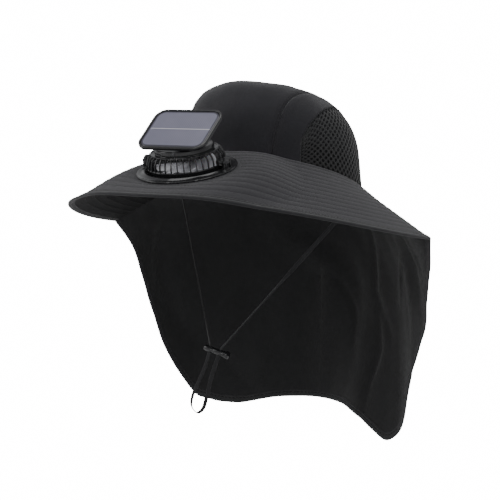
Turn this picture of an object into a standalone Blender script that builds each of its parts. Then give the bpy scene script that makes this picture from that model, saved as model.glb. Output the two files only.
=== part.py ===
"""Sun hat: ventilated cloth crown, wide stitched brim with a small solar fan let into it,
long neck flap and an adjustable chin cord. Metres, +Z up, front of the hat towards -Y,
the wearer's left towards +X. The origin is the centre of the head opening."""
import math

import bmesh
import bpy
import numpy as np
from mathutils import Matrix, Vector

# Cloth and clearances
SEAM_GAP = 0.0004
CROWN_WALL = 0.0015
BRIM_WALL = 0.0024
FLAP_WALL = 0.0014
NET_WALL = 0.0014
BINDING_WALL = 0.0032
HEM_WALL = 0.0022

# Crown, laid out level and then pitched back as it is worn
HAT_PITCH = math.radians(16.4)
CROWN_HALF_WIDTH = 0.088
CROWN_HALF_LENGTH = 0.106
CROWN_HEIGHT = 0.085
CROWN_FULLNESS = 3.19
CROWN_LEAN = -0.0185
CROWN_FOOT = 0.0035
CENTRE_HALF_WIDTH = 0.046
# How far the seams beside the centre panel lean out for each metre up
SEAM_LEAN = 0.12
# the nearly flat top: where its inner ring lies, and how far that ring stands up
TOP_SHARE = 0.45
TOP_CROWNING = 0.008
CROWN_COLUMNS = 36
CROWN_ROWS = 8
SWEATBAND_HEIGHT = 0.022
SWEATBAND_WALL = 0.0012

# Net panel in each side: how far round it runs, and its top edge
NET_FRONT = math.radians(50)
NET_REAR = math.radians(136)
NET_COLUMNS = 8
NET_ROWS = 6
NET_STRAND = 0.0022
# share of the way round, height as a share of the crown's height
NET_TOP_EDGE = (
    (0.00, 0.26),
    (0.07, 0.47),
    (0.22, 0.69),
    (0.45, 0.825),
    (0.70, 0.83),
    (0.90, 0.74),
    (1.00, 0.58),
)

# Brim
BRIM_HALF_WIDTH = 0.188
BRIM_REACH = 0.244
BRIM_SHIFT = 0.007
BRIM_DROP = 0.039
BRIM_FRONT_DROP = 0.048
BRIM_ROLL = 0.017
BRIM_TIP_LIFT = 0.003
BRIM_END = math.radians(87.4)
BRIM_COLUMNS = 28
BRIM_ROWS = 8
# spacing of the brim's columns at the front, where the fan sits, against an even spacing
BRIM_CROWDING = 0.75
BINDING_WIDTH = 0.0075
# share by which brim and flap first run in under the crown, before the crown's socket is cut
ROOT_TUCK = -0.03

# Neck flap
FLAP_LENGTH = 0.277
FLAP_BACK = 0.102
FLAP_COLUMNS = 13
FLAP_ROWS = 7
HEM_WIDTH = 0.006
# share of the way from the brim's end to the back, then the free edge: share of the brim's
# half width, share of the flap's back, share of the flap's length
FLAP_EDGE = (
    (0.00, 1.000, -0.196, -0.199),
    (0.10, 0.987, -0.137, -0.304),
    (0.20, 0.946, -0.049, -0.414),
    (0.32, 0.884, 0.078, -0.559),
    (0.44, 0.829, 0.196, -0.718),
    (0.54, 0.752, 0.314, -0.864),
    (0.61, 0.679, 0.422, -0.968),
    (0.66, 0.591, 0.471, -1.010),
    (0.71, 0.493, 0.549, -0.987),
    (0.79, 0.375, 0.686, -0.949),
    (0.88, 0.237, 0.843, -0.925),
    (0.95, 0.100, 0.975, -0.923),
    (1.00, 0.000, 1.000, -0.922),
)
# the wearer's right corner hangs closer and higher: share of the way, then the change in the
# share of the half width and of the length
FLAP_RIGHT_CHANGE = (
    (0.00, 0.000, 0.000),
    (0.10, -0.092, 0.002),
    (0.20, -0.080, 0.002),
    (0.32, -0.050, 0.001),
    (0.44, -0.031, 0.001),
    (0.61, -0.026, 0.053),
    (0.66, -0.008, 0.078),
    (0.71, 0.018, 0.042),
    (0.79, 0.018, 0.003),
    (1.00, 0.000, 0.000),
)
# share of the way round, then the point that pulls the cloth out between crown and edge
FLAP_PULL = (
    (0.00, 0.734, -0.123, -0.098),
    (0.12, 0.790, 0.040, -0.135),
    (0.25, 0.815, 0.250, -0.175),
    (0.50, 0.740, 0.700, -0.280),
    (0.75, 0.440, 1.180, -0.400),
    (1.00, 0.000, 1.330, -0.440),
)
# share of the way round, depth in wall thicknesses, width as a share of the way round
FLAP_FOLDS = ((0.30, 2.0, 0.06), (0.48, -2.4, 0.07), (0.82, -2.6, 0.07), (1.00, 2.0, 0.08))

# Fan, upright round its own axis; heights are over the brim
FAN_SHARE = 0.453
FLANGE_RADIUS = 0.0485
FLANGE_INNER = 0.0395
FLANGE_HEIGHT = 0.0032
NECK_WALL = 0.0018
NECK_DEPTH = 0.009
RING_STEPS = 32
CLAMP_RADIUS = 0.0465
CLAMP_HEIGHT = 0.003
FLAT_MARGIN = 0.008
FLAT_BLEND = 0.026
EAR_THICKNESS = 0.0032
EAR_INNER = 0.0425
EAR_WIDTH = 0.010
PIVOT_HEIGHT = 0.009
CAGE_RADIUS = 0.0375
CAGE_WALL = 0.0014
CAGE_RIBS = 24
# radius and height as shares of the cage's radius, from the top lip down
CAGE_PROFILE = (
    (0.850, 0.290),
    (0.885, 0.262),
    (0.950, 0.190),
    (0.992, 0.070),
    (0.990, -0.060),
    (0.950, -0.240),
    (0.880, -0.400),
)
RIB_SLIMMING = -0.25
CAGE_TOP_BAND = 1
CAGE_LOW_BAND = 4
BOSS_RADIUS = 0.0032
HUB_RADIUS = 0.010
HUB_LOW = 0.0015
SPOKE_LOW = 0.003
SPOKE_WIDTH = 0.0026
SPOKES = 4
MOTOR_RADIUS = 0.0095
MOTOR_HEIGHT = 0.008
MOTOR_TOP = -0.0095
ARM_LOW = -0.0004
ARM_HIGH = 0.0016
ROTOR_RADIUS = 0.0305
ROTOR_HUB = 0.0095
ROTOR_HEIGHT = 0.0095
BLADES = 7
BLADE_PITCH = math.radians(34)
BLADE_THICKNESS = 0.0012
BLADE_HALF_CHORD = 0.0082

# Solar head, upright round its own hinge
PANEL_TILT = math.radians(26.3)
PANEL_SETBACK = 0.0025
PANEL_PIVOT = 0.0196
PANEL_LIFT = 0.0105
PANEL_WIDTH = 0.075
PANEL_DEPTH = 0.0555
PANEL_THICKNESS = 0.0042
PANEL_CORNER = 0.0120
PANEL_RIM = 0.0024
CELL_SINK = 0.0010
BRACKET_RADIUS = 0.009
BRACKET_PLATE = 0.0016
DRUM_RADIUS = 0.0285
DRUM_LOW = 0.0098
DRUM_TOP = 0.0162
KNUCKLE_RADIUS = 0.003
KNUCKLE_HALF = 0.003
CHEEK_THICKNESS = 0.0022
SLOT_WIDTH = 0.0095
SLOT_HEIGHT = 0.0030
SLOT_DEPTH = 0.002
SLOT_TURN = math.radians(-26)
BUTTON_TURN = math.radians(9.5)
BUTTON_RADIUS = 0.0019
BUTTON_PROUD = 0.0008

# Chin cord, a flat tape drawn as a round cord of its own width
CORD_RADIUS = 0.0014
CORD_POINTS_LEFT = 15
CORD_POINTS_RIGHT = 12
CORD_POINTS_LOOP = 16
CORD_TOP_LEFT = (0.108, -0.011, -0.0134)
CORD_TOP_RIGHT = (-0.108, -0.011, -0.0128)
LOCK_CENTRE = (-0.065, -0.011, -0.190)
LOCK_LENGTH = 0.026
LOCK_RADIUS = 0.0032
LOCK_TURN = math.radians(12.7)
LOCK_BUTTON_RADIUS = 0.0042
LOCK_BUTTON_LENGTH = 0.0045
# chin loop under the lock: across and down, in metres from the lock's centre
LOOP_ROUTE = (
    (-0.0065, -0.0040),
    (-0.0120, -0.0180),
    (-0.0215, -0.0380),
    (-0.0285, -0.0530),
    (-0.0295, -0.0640),
    (-0.0225, -0.0705),
    (-0.0150, -0.0650),
    (-0.0105, -0.0520),
    (-0.0040, -0.0280),
    (0.0050, -0.0060),
)


def collection(name):
    """A new collection in the scene."""
    made = bpy.data.collections.new(name)
    bpy.context.scene.collection.children.link(made)
    return made


def material(name, colour, roughness, metallic=0.0):
    """A Principled material of one colour."""
    made = bpy.data.materials.new(name)
    made.use_nodes = True
    shader = made.node_tree.nodes["Principled BSDF"]
    shader.inputs["Base Color"].default_value = (*colour, 1.0)
    shader.inputs["Roughness"].default_value = roughness
    shader.inputs["Metallic"].default_value = metallic
    made.diffuse_color = (*colour, 1.0)
    return made


def part(name, data, look, parent=None):
    """Put one named piece in the hat's collection."""
    obj = bpy.data.objects.new(name, data)
    PARTS.objects.link(obj)
    obj.data.materials.append(look)
    obj.parent = parent
    return obj


def cutter(name, data, parent=None):
    """Put one cutting or joining body where the build leaves it out."""
    obj = bpy.data.objects.new(name, data)
    CUTTERS.objects.link(obj)
    obj.hide_render = True
    obj.display_type = "WIRE"
    obj.parent = parent
    return obj


def empty(name, parent=None, place=(0, 0, 0), turn=0.0):
    """A guide empty, turned about X."""
    obj = bpy.data.objects.new(name, None)
    PARTS.objects.link(obj)
    obj.parent = parent
    obj.location = place
    obj.rotation_euler = (turn, 0, 0)
    return obj


def to_mesh(bm, name):
    """Finish a bmesh into mesh data, smooth with sharp corners."""
    data = bpy.data.meshes.new(name)
    bm.to_mesh(data)
    bm.free()
    data.shade_smooth()
    data.set_sharp_from_angle(angle=math.radians(40))
    return data


def grid_mesh(name, rows, closed=False, keep=None):
    """Quads through rows of points; keep(row, column) says which cells stay."""
    bm = bmesh.new()
    verts = [[bm.verts.new(point) for point in row] for row in rows]
    columns = len(rows[0])
    for j in range(len(rows) - 1):
        for i in range(columns if closed else columns - 1):
            if keep is None or keep(j, i):
                k = (i + 1) % columns
                bm.faces.new((verts[j][i], verts[j + 1][i], verts[j + 1][k], verts[j][k]))
    loose = [v for v in bm.verts if not v.link_faces]
    bmesh.ops.delete(bm, geom=loose, context="VERTS")
    bmesh.ops.remove_doubles(bm, verts=bm.verts, dist=0.00001)
    return to_mesh(bm, name)


def solidify(obj, thickness, offset=-1.0):
    """Give an open surface its wall, inwards from the drawn side."""
    wall = obj.modifiers.new("wall", "SOLIDIFY")
    wall.thickness = thickness
    wall.offset = offset
    wall.use_even_offset = True
    return obj


def boolean(obj, tool, operation):
    """Cut, keep or join with another body."""
    mod = obj.modifiers.new(tool.name, "BOOLEAN")
    mod.object = tool
    mod.operation = operation
    return obj


def screw(obj, steps):
    """Turn a profile round Z."""
    mod = obj.modifiers.new("turn", "SCREW")
    mod.steps = steps
    mod.render_steps = steps
    mod.use_merge_vertices = True
    mod.merge_threshold = 0.00001
    return obj


def profile_mesh(name, points, closed):
    """Edges through (radius, height) points."""
    bm = bmesh.new()
    verts = [bm.verts.new((radius, 0, height)) for radius, height in points]
    for a, b in zip(verts, verts[1:]):
        bm.edges.new((a, b))
    if closed:
        bm.edges.new((verts[-1], verts[0]))
    return to_mesh(bm, name)


def box_mesh(name, low, high):
    """A box between two corners."""
    bm = bmesh.new()
    size = [b - a for a, b in zip(low, high)]
    middle = [(a + b) / 2 for a, b in zip(low, high)]
    bmesh.ops.create_cube(bm, size=1.0, matrix=Matrix.Translation(middle) @ Matrix.Diagonal((*size, 1)))
    return to_mesh(bm, name)


def cylinder_mesh(name, radius, length, axis="Z", centre=(0, 0, 0), sides=24):
    """A closed cylinder along an axis."""
    bm = bmesh.new()
    turns = {"X": Matrix.Rotation(math.pi / 2, 4, "Y"), "Y": Matrix.Rotation(math.pi / 2, 4, "X")}
    turn = turns.get(axis, Matrix())
    bmesh.ops.create_cone(bm, cap_ends=True, segments=sides, radius1=radius, radius2=radius, depth=length,
                          matrix=Matrix.Translation(centre) @ turn)
    return to_mesh(bm, name)


def spline(rows, at):
    """Smooth value of a table at a share: Catmull-Rom through its rows."""
    rows = np.array(rows, dtype=float)
    keys = rows[:, 0]
    k = int(np.clip(np.searchsorted(keys, at) - 1, 0, len(keys) - 2))
    t = (at - keys[k]) / (keys[k + 1] - keys[k])
    values = rows[:, 1:]
    step = keys[k + 1] - keys[k]

    def slope(i):
        low, high = max(i - 1, 0), min(i + 1, len(keys) - 1)
        return (values[high] - values[low]) / (keys[high] - keys[low])

    a, b = values[k], values[k + 1]
    return ((2 * t**3 - 3 * t**2 + 1) * a + (t**3 - 2 * t**2 + t) * step * slope(k)
            + (-2 * t**3 + 3 * t**2) * b + (t**3 - t**2) * step * slope(k + 1))


def smooth(edge, span, value):
    """1 below edge, falling smoothly to 0 over span."""
    t = min(max((value - edge) / span, 0.0), 1.0)
    return 1 - t * t * (3 - 2 * t)


def worn(point):
    """From the level hat to the hat as it is worn, pitched back."""
    x, y, z = point
    c, s = math.cos(HAT_PITCH), math.sin(HAT_PITCH)
    return np.array((x, c * y + s * z, -s * y + c * z))


def dome(phi, height, inset=0.0):
    """Point on the level crown at an angle from the front and a share of its height."""
    height = min(max(height, 0.0), 1.0)
    round_share = (1 - height**CROWN_FULLNESS) ** (1 / CROWN_FULLNESS)
    x = (CROWN_HALF_WIDTH - inset) * round_share * math.sin(phi)
    y = -(CROWN_HALF_LENGTH - inset) * round_share * math.cos(phi) + CROWN_LEAN * height
    return np.array((x, y, (CROWN_HEIGHT - inset) * height))


def crown_base(phi, grow=0.0):
    """Where brim and flap start, just outside the crown's foot."""
    x = (CROWN_HALF_WIDTH + SEAM_GAP + grow) * math.sin(phi)
    y = -(CROWN_HALF_LENGTH + SEAM_GAP + grow) * math.cos(phi)
    return worn((x, y, 0.0))


def crown_socket(name):
    """Body that the crown's foot takes up, with its clearance, to trim brim and flap."""
    bm = bmesh.new()
    steps = 2 * CROWN_COLUMNS
    low = -CROWN_FOOT - SEAM_GAP
    ring = []
    for i in range(steps):
        turn = 2 * math.pi * i / steps
        x = (CROWN_HALF_WIDTH + SEAM_GAP) * math.sin(turn)
        y = -(CROWN_HALF_LENGTH + SEAM_GAP) * math.cos(turn)
        ring.append(bm.verts.new(worn((x, y, low))))
    grown = bmesh.ops.extrude_face_region(bm, geom=[bm.faces.new(ring)])
    moved = [v for v in grown["geom"] if isinstance(v, bmesh.types.BMVert)]
    bmesh.ops.translate(bm, verts=moved, vec=worn((0, 0, CROWN_HEIGHT / 2)))
    bmesh.ops.recalc_face_normals(bm, faces=bm.faces)
    return cutter(name, to_mesh(bm, name))


def brim_edge(phi):
    """Outer edge of the brim."""
    x = BRIM_HALF_WIDTH * math.sin(phi)
    y = BRIM_SHIFT - BRIM_REACH * math.cos(phi)
    z = (-BRIM_DROP - BRIM_FRONT_DROP * math.cos(phi) + BRIM_ROLL * math.cos(2 * phi)
         - BRIM_TIP_LIFT * math.cos(3 * phi))
    return worn((x, y, z))


def fan_place():
    """Centre of the fan on the brim and its forward tilt."""
    inner, outer = crown_base(0), brim_edge(0)
    centre = inner + FAN_SHARE * (outer - inner)
    run = outer - inner
    return centre, math.atan2(-run[2], -run[1])


def brim_point(phi, share):
    """Top surface of the brim, held flat under the fan's flange."""
    point = crown_base(phi) + share * (brim_edge(phi) - crown_base(phi))
    centre, tilt = fan_place()
    up = np.array((0, -math.sin(tilt), math.cos(tilt)))
    lift = np.dot(point - centre, up)
    reach = np.linalg.norm(point - centre - lift * up)
    return point - smooth(FLANGE_RADIUS + FLAT_MARGIN, FLAT_BLEND, reach) * lift * up


def flap_point(turn, share):
    """Outer surface of the neck flap: turn runs -1..1 from the right end round to the left."""
    side = 1.0 if turn >= 0 else -1.0
    way = 1 - abs(turn)
    phi = BRIM_END + way * (math.pi - BRIM_END)
    fade = smooth(0.0, 0.15, way)
    start = crown_base(phi, FLAP_WALL * (1 - fade))
    scale = np.array((BRIM_HALF_WIDTH, FLAP_BACK, FLAP_LENGTH))
    edge = spline(FLAP_EDGE, way) * scale
    if turn < 0:
        wide, drop = spline(FLAP_RIGHT_CHANGE, way)
        edge = edge + np.array((wide * BRIM_HALF_WIDTH, 0, drop * FLAP_LENGTH))
    pull = spline(FLAP_PULL, way) * scale
    corner = brim_edge(BRIM_END)
    edge = edge + fade * (corner - np.array(FLAP_EDGE[0][1:]) * scale)
    pull = pull + fade * ((corner + crown_base(BRIM_END)) / 2 - np.array(FLAP_PULL[0][1:]) * scale)
    point = (1 - share) ** 2 * start + 2 * share * (1 - share) * pull + share**2 * edge
    out = np.array((math.sin(phi), -math.cos(phi), 0.0))
    for place, depth, width in FLAP_FOLDS:
        bell = math.exp(-((way - place) / width) ** 2)
        point = point + out * depth * FLAP_WALL * bell * max(share, 0.0) ** 1.5
    return point * np.array((side, 1, 1))


def seam_front(name, shift):
    """Everything in front of the two seams where the brim ends and the flap begins."""
    root, corner = crown_base(BRIM_END), brim_edge(BRIM_END)
    run = (corner - root) / (corner - root)[0]
    far = corner + run * BRIM_HALF_WIDTH
    side = [root, corner, far, np.array((far[0], -2 * BRIM_REACH, 0))]
    outline = [(p[0], p[1]) for p in side] + [(-p[0], p[1]) for p in reversed(side)]
    bm = bmesh.new()
    ring = [bm.verts.new((x, y + shift, -2 * FLAP_LENGTH)) for x, y in outline]
    grown = bmesh.ops.extrude_face_region(bm, geom=[bm.faces.new(ring)])
    moved = [v for v in grown["geom"] if isinstance(v, bmesh.types.BMVert)]
    bmesh.ops.translate(bm, verts=moved, vec=(0, 0, 4 * FLAP_LENGTH))
    bmesh.ops.recalc_face_normals(bm, faces=bm.faces)
    return cutter(name, to_mesh(bm, name))


def length_of(points):
    """Length along a list of points."""
    return float(sum(np.linalg.norm(b - a) for a, b in zip(points, points[1:])))


def crown_shell():
    """Whole crown as one closed wall, cut into panels afterwards."""
    heights = [math.sin(math.pi / 2 * k / CROWN_ROWS) ** 1.15 for k in range(CROWN_ROWS)]
    rows = []
    drop = np.array((0, 0, CROWN_FOOT))
    foot = [worn(dome(2 * math.pi * i / CROWN_COLUMNS, 0) - drop) for i in range(CROWN_COLUMNS)]
    rows.append(foot)
    for height in heights:
        rows.append([worn(dome(2 * math.pi * i / CROWN_COLUMNS, height)) for i in range(CROWN_COLUMNS)])
    apex = worn(dome(0, 1.0))
    lift = worn((0, 0, CROWN_HEIGHT * TOP_CROWNING))
    rows.append([point * TOP_SHARE + apex * (1 - TOP_SHARE) + lift for point in rows[-1]])
    rows.append([apex] * CROWN_COLUMNS)
    rows.reverse()
    return grid_mesh("crown_shell", rows, closed=True)


def side_outline(grow):
    """Net panel's outline in the level side view, grown by a gap."""
    low = -CROWN_FOOT * 2
    tops = [float(spline(NET_TOP_EDGE, k / 24)[0]) for k in range(25)]
    track = [(NET_FRONT, tops[0] * k / 5) for k in range(5)]
    track += [(NET_FRONT + k / 24 * (NET_REAR - NET_FRONT), top) for k, top in enumerate(tops)]
    track += [(NET_REAR, tops[-1] * k / 5) for k in range(4, -1, -1)]
    points = [tuple(dome(phi, height)[1:]) for phi, height in track]
    points = [(points[0][0] - grow, low)] + points + [(points[-1][0] + grow, low)]
    grown = [points[0]]
    for before, here, after in zip(points, points[1:], points[2:]):
        along = np.array(after) - np.array(before)
        out = np.array((-along[1], along[0])) / np.linalg.norm(along)
        grown.append(tuple(np.array(here) + out * grow))
    grown.append(points[-1])
    return grown


def net_cutter(side):
    """Prism that cuts the net's window out of a side panel."""
    outline = side_outline(SEAM_GAP * 1.5)
    near, far = CENTRE_HALF_WIDTH * 0.5, CROWN_HALF_WIDTH * 1.3
    bm = bmesh.new()
    ring = [bm.verts.new(worn((side * near, y, z))) for y, z in outline]
    face = bm.faces.new(ring)
    grown = bmesh.ops.extrude_face_region(bm, geom=[face])
    moved = [v for v in grown["geom"] if isinstance(v, bmesh.types.BMVert)]
    bmesh.ops.translate(bm, verts=moved, vec=(side * (far - near), 0, 0))
    bmesh.ops.recalc_face_normals(bm, faces=bm.faces)
    return to_mesh(bm, "net_window")


def net_point(side, across, up):
    """Point on the net at a share of the way round and a share of its own height."""
    phi = NET_FRONT + across * (NET_REAR - NET_FRONT)
    height = float(spline(NET_TOP_EDGE, across)[0]) * up
    return worn(dome(phi, height)) * np.array((side, 1, 1))


def net_mesh(side):
    """Net of diamond cells, each cut through, inside a solid edge."""
    bm = bmesh.new()
    columns, rows = 2 * NET_COLUMNS, NET_ROWS
    verts = {}
    for i in range(columns + 1):
        for j in range(rows + 1):
            if (i + j) % 2 == 0 or i in (0, columns) or j in (0, rows):
                verts[i, j] = bm.verts.new(net_point(side, i / columns, j / rows))
    cells = []
    for i in range(columns + 1):
        for j in range(rows + 1):
            if (i + j) % 2 == 0:
                continue
            if 0 < i < columns and 0 < j < rows:
                around = [(i - 1, j), (i, j - 1), (i + 1, j), (i, j + 1)]
                cells.append(bm.faces.new([verts[key] for key in around]))
            elif 0 < i < columns:
                half_cell(bm, verts, (i, j), (i - 1, j), (i, 1 if j == 0 else rows - 1), (i + 1, j))
            else:
                half_cell(bm, verts, (i, j), (i, j - 1), (1 if i == 0 else columns - 1, j), (i, j + 1))
    bmesh.ops.recalc_face_normals(bm, faces=bm.faces)
    bmesh.ops.inset_individual(bm, faces=cells, thickness=NET_STRAND / 2, use_even_offset=True)
    bmesh.ops.delete(bm, geom=cells, context="FACES_ONLY")
    flip = [f for f in bm.faces if f.normal.x * side < 0]
    bmesh.ops.reverse_faces(bm, faces=flip)
    return to_mesh(bm, "net")


def half_cell(bm, verts, hub, before, inside, after):
    """Half a cell at the net's edge, left solid."""
    for a, b in ((before, inside), (inside, after)):
        bm.faces.new((verts[hub], verts[a], verts[b]))


def seam_block(name, inner, outer):
    """Block between two leaning planes; inner and outer are their places across at the crown's foot."""
    tall, reach = 2 * CROWN_HEIGHT, 2 * CROWN_HALF_LENGTH
    bm = bmesh.new()
    ring = []
    for start, up in ((inner, -tall), (outer, -tall), (outer, tall), (inner, tall)):
        lean = math.copysign(SEAM_LEAN, start) * up
        ring.append(bm.verts.new(worn((start + lean, -reach, up))))
    face = bm.faces.new(ring)
    grown = bmesh.ops.extrude_face_region(bm, geom=[face])
    moved = [v for v in grown["geom"] if isinstance(v, bmesh.types.BMVert)]
    bmesh.ops.translate(bm, verts=moved, vec=worn((0, 2 * reach, 0)))
    bmesh.ops.recalc_face_normals(bm, faces=bm.faces)
    return to_mesh(bm, name)


def make_crown():
    """Centre panel, two side panels with their windows, and the nets in them."""
    shell = crown_shell()
    half = CENTRE_HALF_WIDTH - SEAM_GAP / 2
    centre_box = cutter("centre_box", seam_block("centre_box", -half, half))
    centre = solidify(part("crown_centre", shell, CLOTH), CROWN_WALL)
    boolean(centre, centre_box, "INTERSECT")
    for name, side in (("left", 1), ("right", -1)):
        inner, outer = side * (CENTRE_HALF_WIDTH + SEAM_GAP / 2), side * 2 * CROWN_HALF_WIDTH
        box = cutter(f"side_box_{name}", seam_block("side_box", inner, outer))
        window = cutter(f"net_window_{name}", net_cutter(side))
        panel = solidify(part(f"crown_side_{name}", shell.copy(), CLOTH), CROWN_WALL)
        boolean(panel, box, "INTERSECT")
        boolean(panel, window, "DIFFERENCE")
        net = part(f"net_{name}", net_mesh(side), NET)
        solidify(net, NET_WALL)


def make_sweatband():
    """Band inside the crown's foot."""
    inset = CROWN_WALL + SEAM_GAP
    top = SWEATBAND_HEIGHT / CROWN_HEIGHT
    rows = []
    for height, drop in ((top, 0.0), (0.0, 0.0), (0.0, CROWN_FOOT)):
        rows.append([worn(dome(2 * math.pi * i / CROWN_COLUMNS, height, inset) - np.array((0, 0, drop)))
                     for i in range(CROWN_COLUMNS)])
    solidify(part("sweatband", grid_mesh("sweatband", rows, closed=True), CLOTH), SWEATBAND_WALL)


def brim_rows(shares_at, columns):
    """Rows of brim points, from the crown out."""
    rows = []
    count = len(shares_at(0))
    for k in range(count):
        row = []
        for i in range(columns + 1):
            way = 2 * i / columns - 1
            phi = BRIM_END * way * (BRIM_CROWDING + (1 - BRIM_CROWDING) * way * way)
            row.append(brim_point(phi, shares_at(phi)[k]))
        rows.append(row)
    return rows


def make_brim():
    """Brim sheet with the fan's hole, and the bound edge round it."""
    def sheet(phi):
        width = length_of([crown_base(phi), brim_edge(phi)])
        last = 1 - (BINDING_WIDTH + SEAM_GAP) / width
        return [ROOT_TUCK] + [last * k / BRIM_ROWS for k in range(1, BRIM_ROWS + 1)]

    def edge(phi):
        width = length_of([crown_base(phi), brim_edge(phi)])
        return [1 - BINDING_WIDTH / width, 1.0]

    brim = part("brim", grid_mesh("brim", brim_rows(sheet, BRIM_COLUMNS)), CLOTH)
    solidify(brim, BRIM_WALL)
    boolean(brim, crown_socket("brim_socket"), "DIFFERENCE")
    front = seam_front("seam_front", -SEAM_GAP / 2)
    boolean(brim, front, "INTERSECT")
    centre, tilt = fan_place()
    hole = cutter("fan_hole", cylinder_mesh("fan_hole", FLANGE_INNER + NECK_WALL + SEAM_GAP, 0.04, sides=40))
    hole.location = centre
    hole.rotation_euler = (tilt, 0, 0)
    boolean(brim, hole, "DIFFERENCE")
    binding = part("brim_binding", grid_mesh("brim_binding", brim_rows(edge, BRIM_COLUMNS)), TRIM)
    solidify(binding, BINDING_WALL, offset=-0.75)
    boolean(binding, front, "INTERSECT")


def make_flap():
    """Neck flap and the bound edge round it."""
    def column_length(turn):
        return length_of([flap_point(turn, k / 12) for k in range(13)])

    rows, hem = [], []
    for i in range(2 * FLAP_COLUMNS + 1):
        turn = (i - FLAP_COLUMNS) / FLAP_COLUMNS
        width = column_length(turn)
        last = 1 - (HEM_WIDTH + SEAM_GAP) / width
        tuck = ROOT_TUCK * smooth(0.0, 0.15, 1 - abs(turn))
        shares = [tuck] + [last * k / FLAP_ROWS for k in range(1, FLAP_ROWS + 1)]
        rows.append([flap_point(turn, share) for share in shares])
        hem.append([flap_point(turn, 1 - HEM_WIDTH / width), flap_point(turn, 1.0)])
    flap = part("neck_flap", grid_mesh("neck_flap", rows), CLOTH)
    solidify(flap, FLAP_WALL)
    boolean(flap, crown_socket("flap_socket"), "DIFFERENCE")
    front = seam_front("flap_seam_front", SEAM_GAP / 2)
    boolean(flap, front, "DIFFERENCE")
    binding = part("flap_binding", grid_mesh("flap_binding", hem), TRIM)
    solidify(binding, HEM_WALL, offset=-0.6)
    boolean(binding, front, "DIFFERENCE")


def make_flange(frame):
    """Flange with its neck and two ears, and the clamp ring under the brim."""
    outer, inner, neck = FLANGE_RADIUS, FLANGE_INNER, FLANGE_INNER + NECK_WALL
    lift = SEAM_GAP
    ring = ((inner, -NECK_DEPTH), (inner, FLANGE_HEIGHT), (outer - FLANGE_HEIGHT / 2, FLANGE_HEIGHT),
            (outer, FLANGE_HEIGHT / 2), (outer, lift), (neck, lift), (neck, -NECK_DEPTH))
    flange = screw(part("fan_flange", profile_mesh("fan_flange", ring, True), PLASTIC, frame), RING_STEPS)
    for name, side in (("left", 1), ("right", -1)):
        x_low, x_high = sorted((side * EAR_INNER, side * (EAR_INNER + EAR_THICKNESS)))
        post = box_mesh("ear_post", (x_low, -EAR_WIDTH / 2, FLANGE_HEIGHT / 2),
                        (x_high, EAR_WIDTH / 2, PIVOT_HEIGHT))
        boolean(flange, cutter(f"ear_post_{name}", post, frame), "UNION")
        middle = ((x_low + x_high) / 2, 0, PIVOT_HEIGHT)
        head = cylinder_mesh("ear_head", EAR_WIDTH / 2, EAR_THICKNESS, "X", middle, 20)
        boolean(flange, cutter(f"ear_head_{name}", head, frame), "UNION")
    top = -BRIM_WALL - SEAM_GAP
    low = top - CLAMP_HEIGHT
    clamp_in = neck + SEAM_GAP
    clamp = ((clamp_in, low), (clamp_in, top), (CLAMP_RADIUS, top), (CLAMP_RADIUS, low))
    screw(part("fan_clamp_ring", profile_mesh("fan_clamp_ring", clamp, True), PLASTIC, frame), RING_STEPS)


def make_cage(pivot):
    """Ribbed cage with side bosses, and the hub and spokes that carry the drum."""
    columns = 2 * CAGE_RIBS
    rows = []
    for radius, height in CAGE_PROFILE:
        out, up = radius * CAGE_RADIUS, height * CAGE_RADIUS
        row = []
        for i in range(columns):
            turn = 2 * math.pi * (i + (RIB_SLIMMING if i % 2 else 0.0)) / columns
            row.append((out * math.sin(turn), -out * math.cos(turn), up))
        rows.append(row)

    def keep(j, i):
        return j < CAGE_TOP_BAND or j >= CAGE_LOW_BAND or i % 2 == 0

    cage = part("fan_cage", grid_mesh("fan_cage", rows, closed=True, keep=keep), PLASTIC, pivot)
    solidify(cage, CAGE_WALL)
    boss_in = CAGE_RADIUS - CAGE_WALL * 1.5
    boss_out = EAR_INNER - SEAM_GAP
    for name, side in (("left", 1), ("right", -1)):
        middle = (side * (boss_in + boss_out) / 2, 0, 0)
        boss = cylinder_mesh("boss", BOSS_RADIUS, boss_out - boss_in, "X", middle, 16)
        boolean(cage, cutter(f"boss_{name}", boss, pivot), "UNION")
    hub_top = DRUM_LOW - SEAM_GAP
    hub = cylinder_mesh("hub", HUB_RADIUS, hub_top - HUB_LOW, "Z", (0, 0, (hub_top + HUB_LOW) / 2), 20)
    boolean(cage, cutter("cage_hub", hub, pivot), "UNION")
    ring_r, ring_z = CAGE_PROFILE[1][0] * CAGE_RADIUS, CAGE_PROFILE[1][1] * CAGE_RADIUS
    start = Vector((HUB_RADIUS / 2, 0, SPOKE_LOW))
    end = Vector((ring_r - CAGE_WALL / 2, 0, ring_z - CAGE_WALL / 2))
    run = end - start
    lean = math.atan2(run.z, run.x)
    half, wall = SPOKE_WIDTH / 2, CAGE_WALL / 2
    for k in range(SPOKES):
        turn = 2 * math.pi * (k + 0.5) / SPOKES
        bar = box_mesh("spoke", (0, -half, -wall), (run.length, half, wall))
        place = Matrix.Translation(start) @ Matrix.Rotation(-lean, 4, "Y")
        bar.transform(Matrix.Rotation(turn, 4, "Z") @ place)
        boolean(cage, cutter(f"spoke_{k}", bar, pivot), "UNION")


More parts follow.
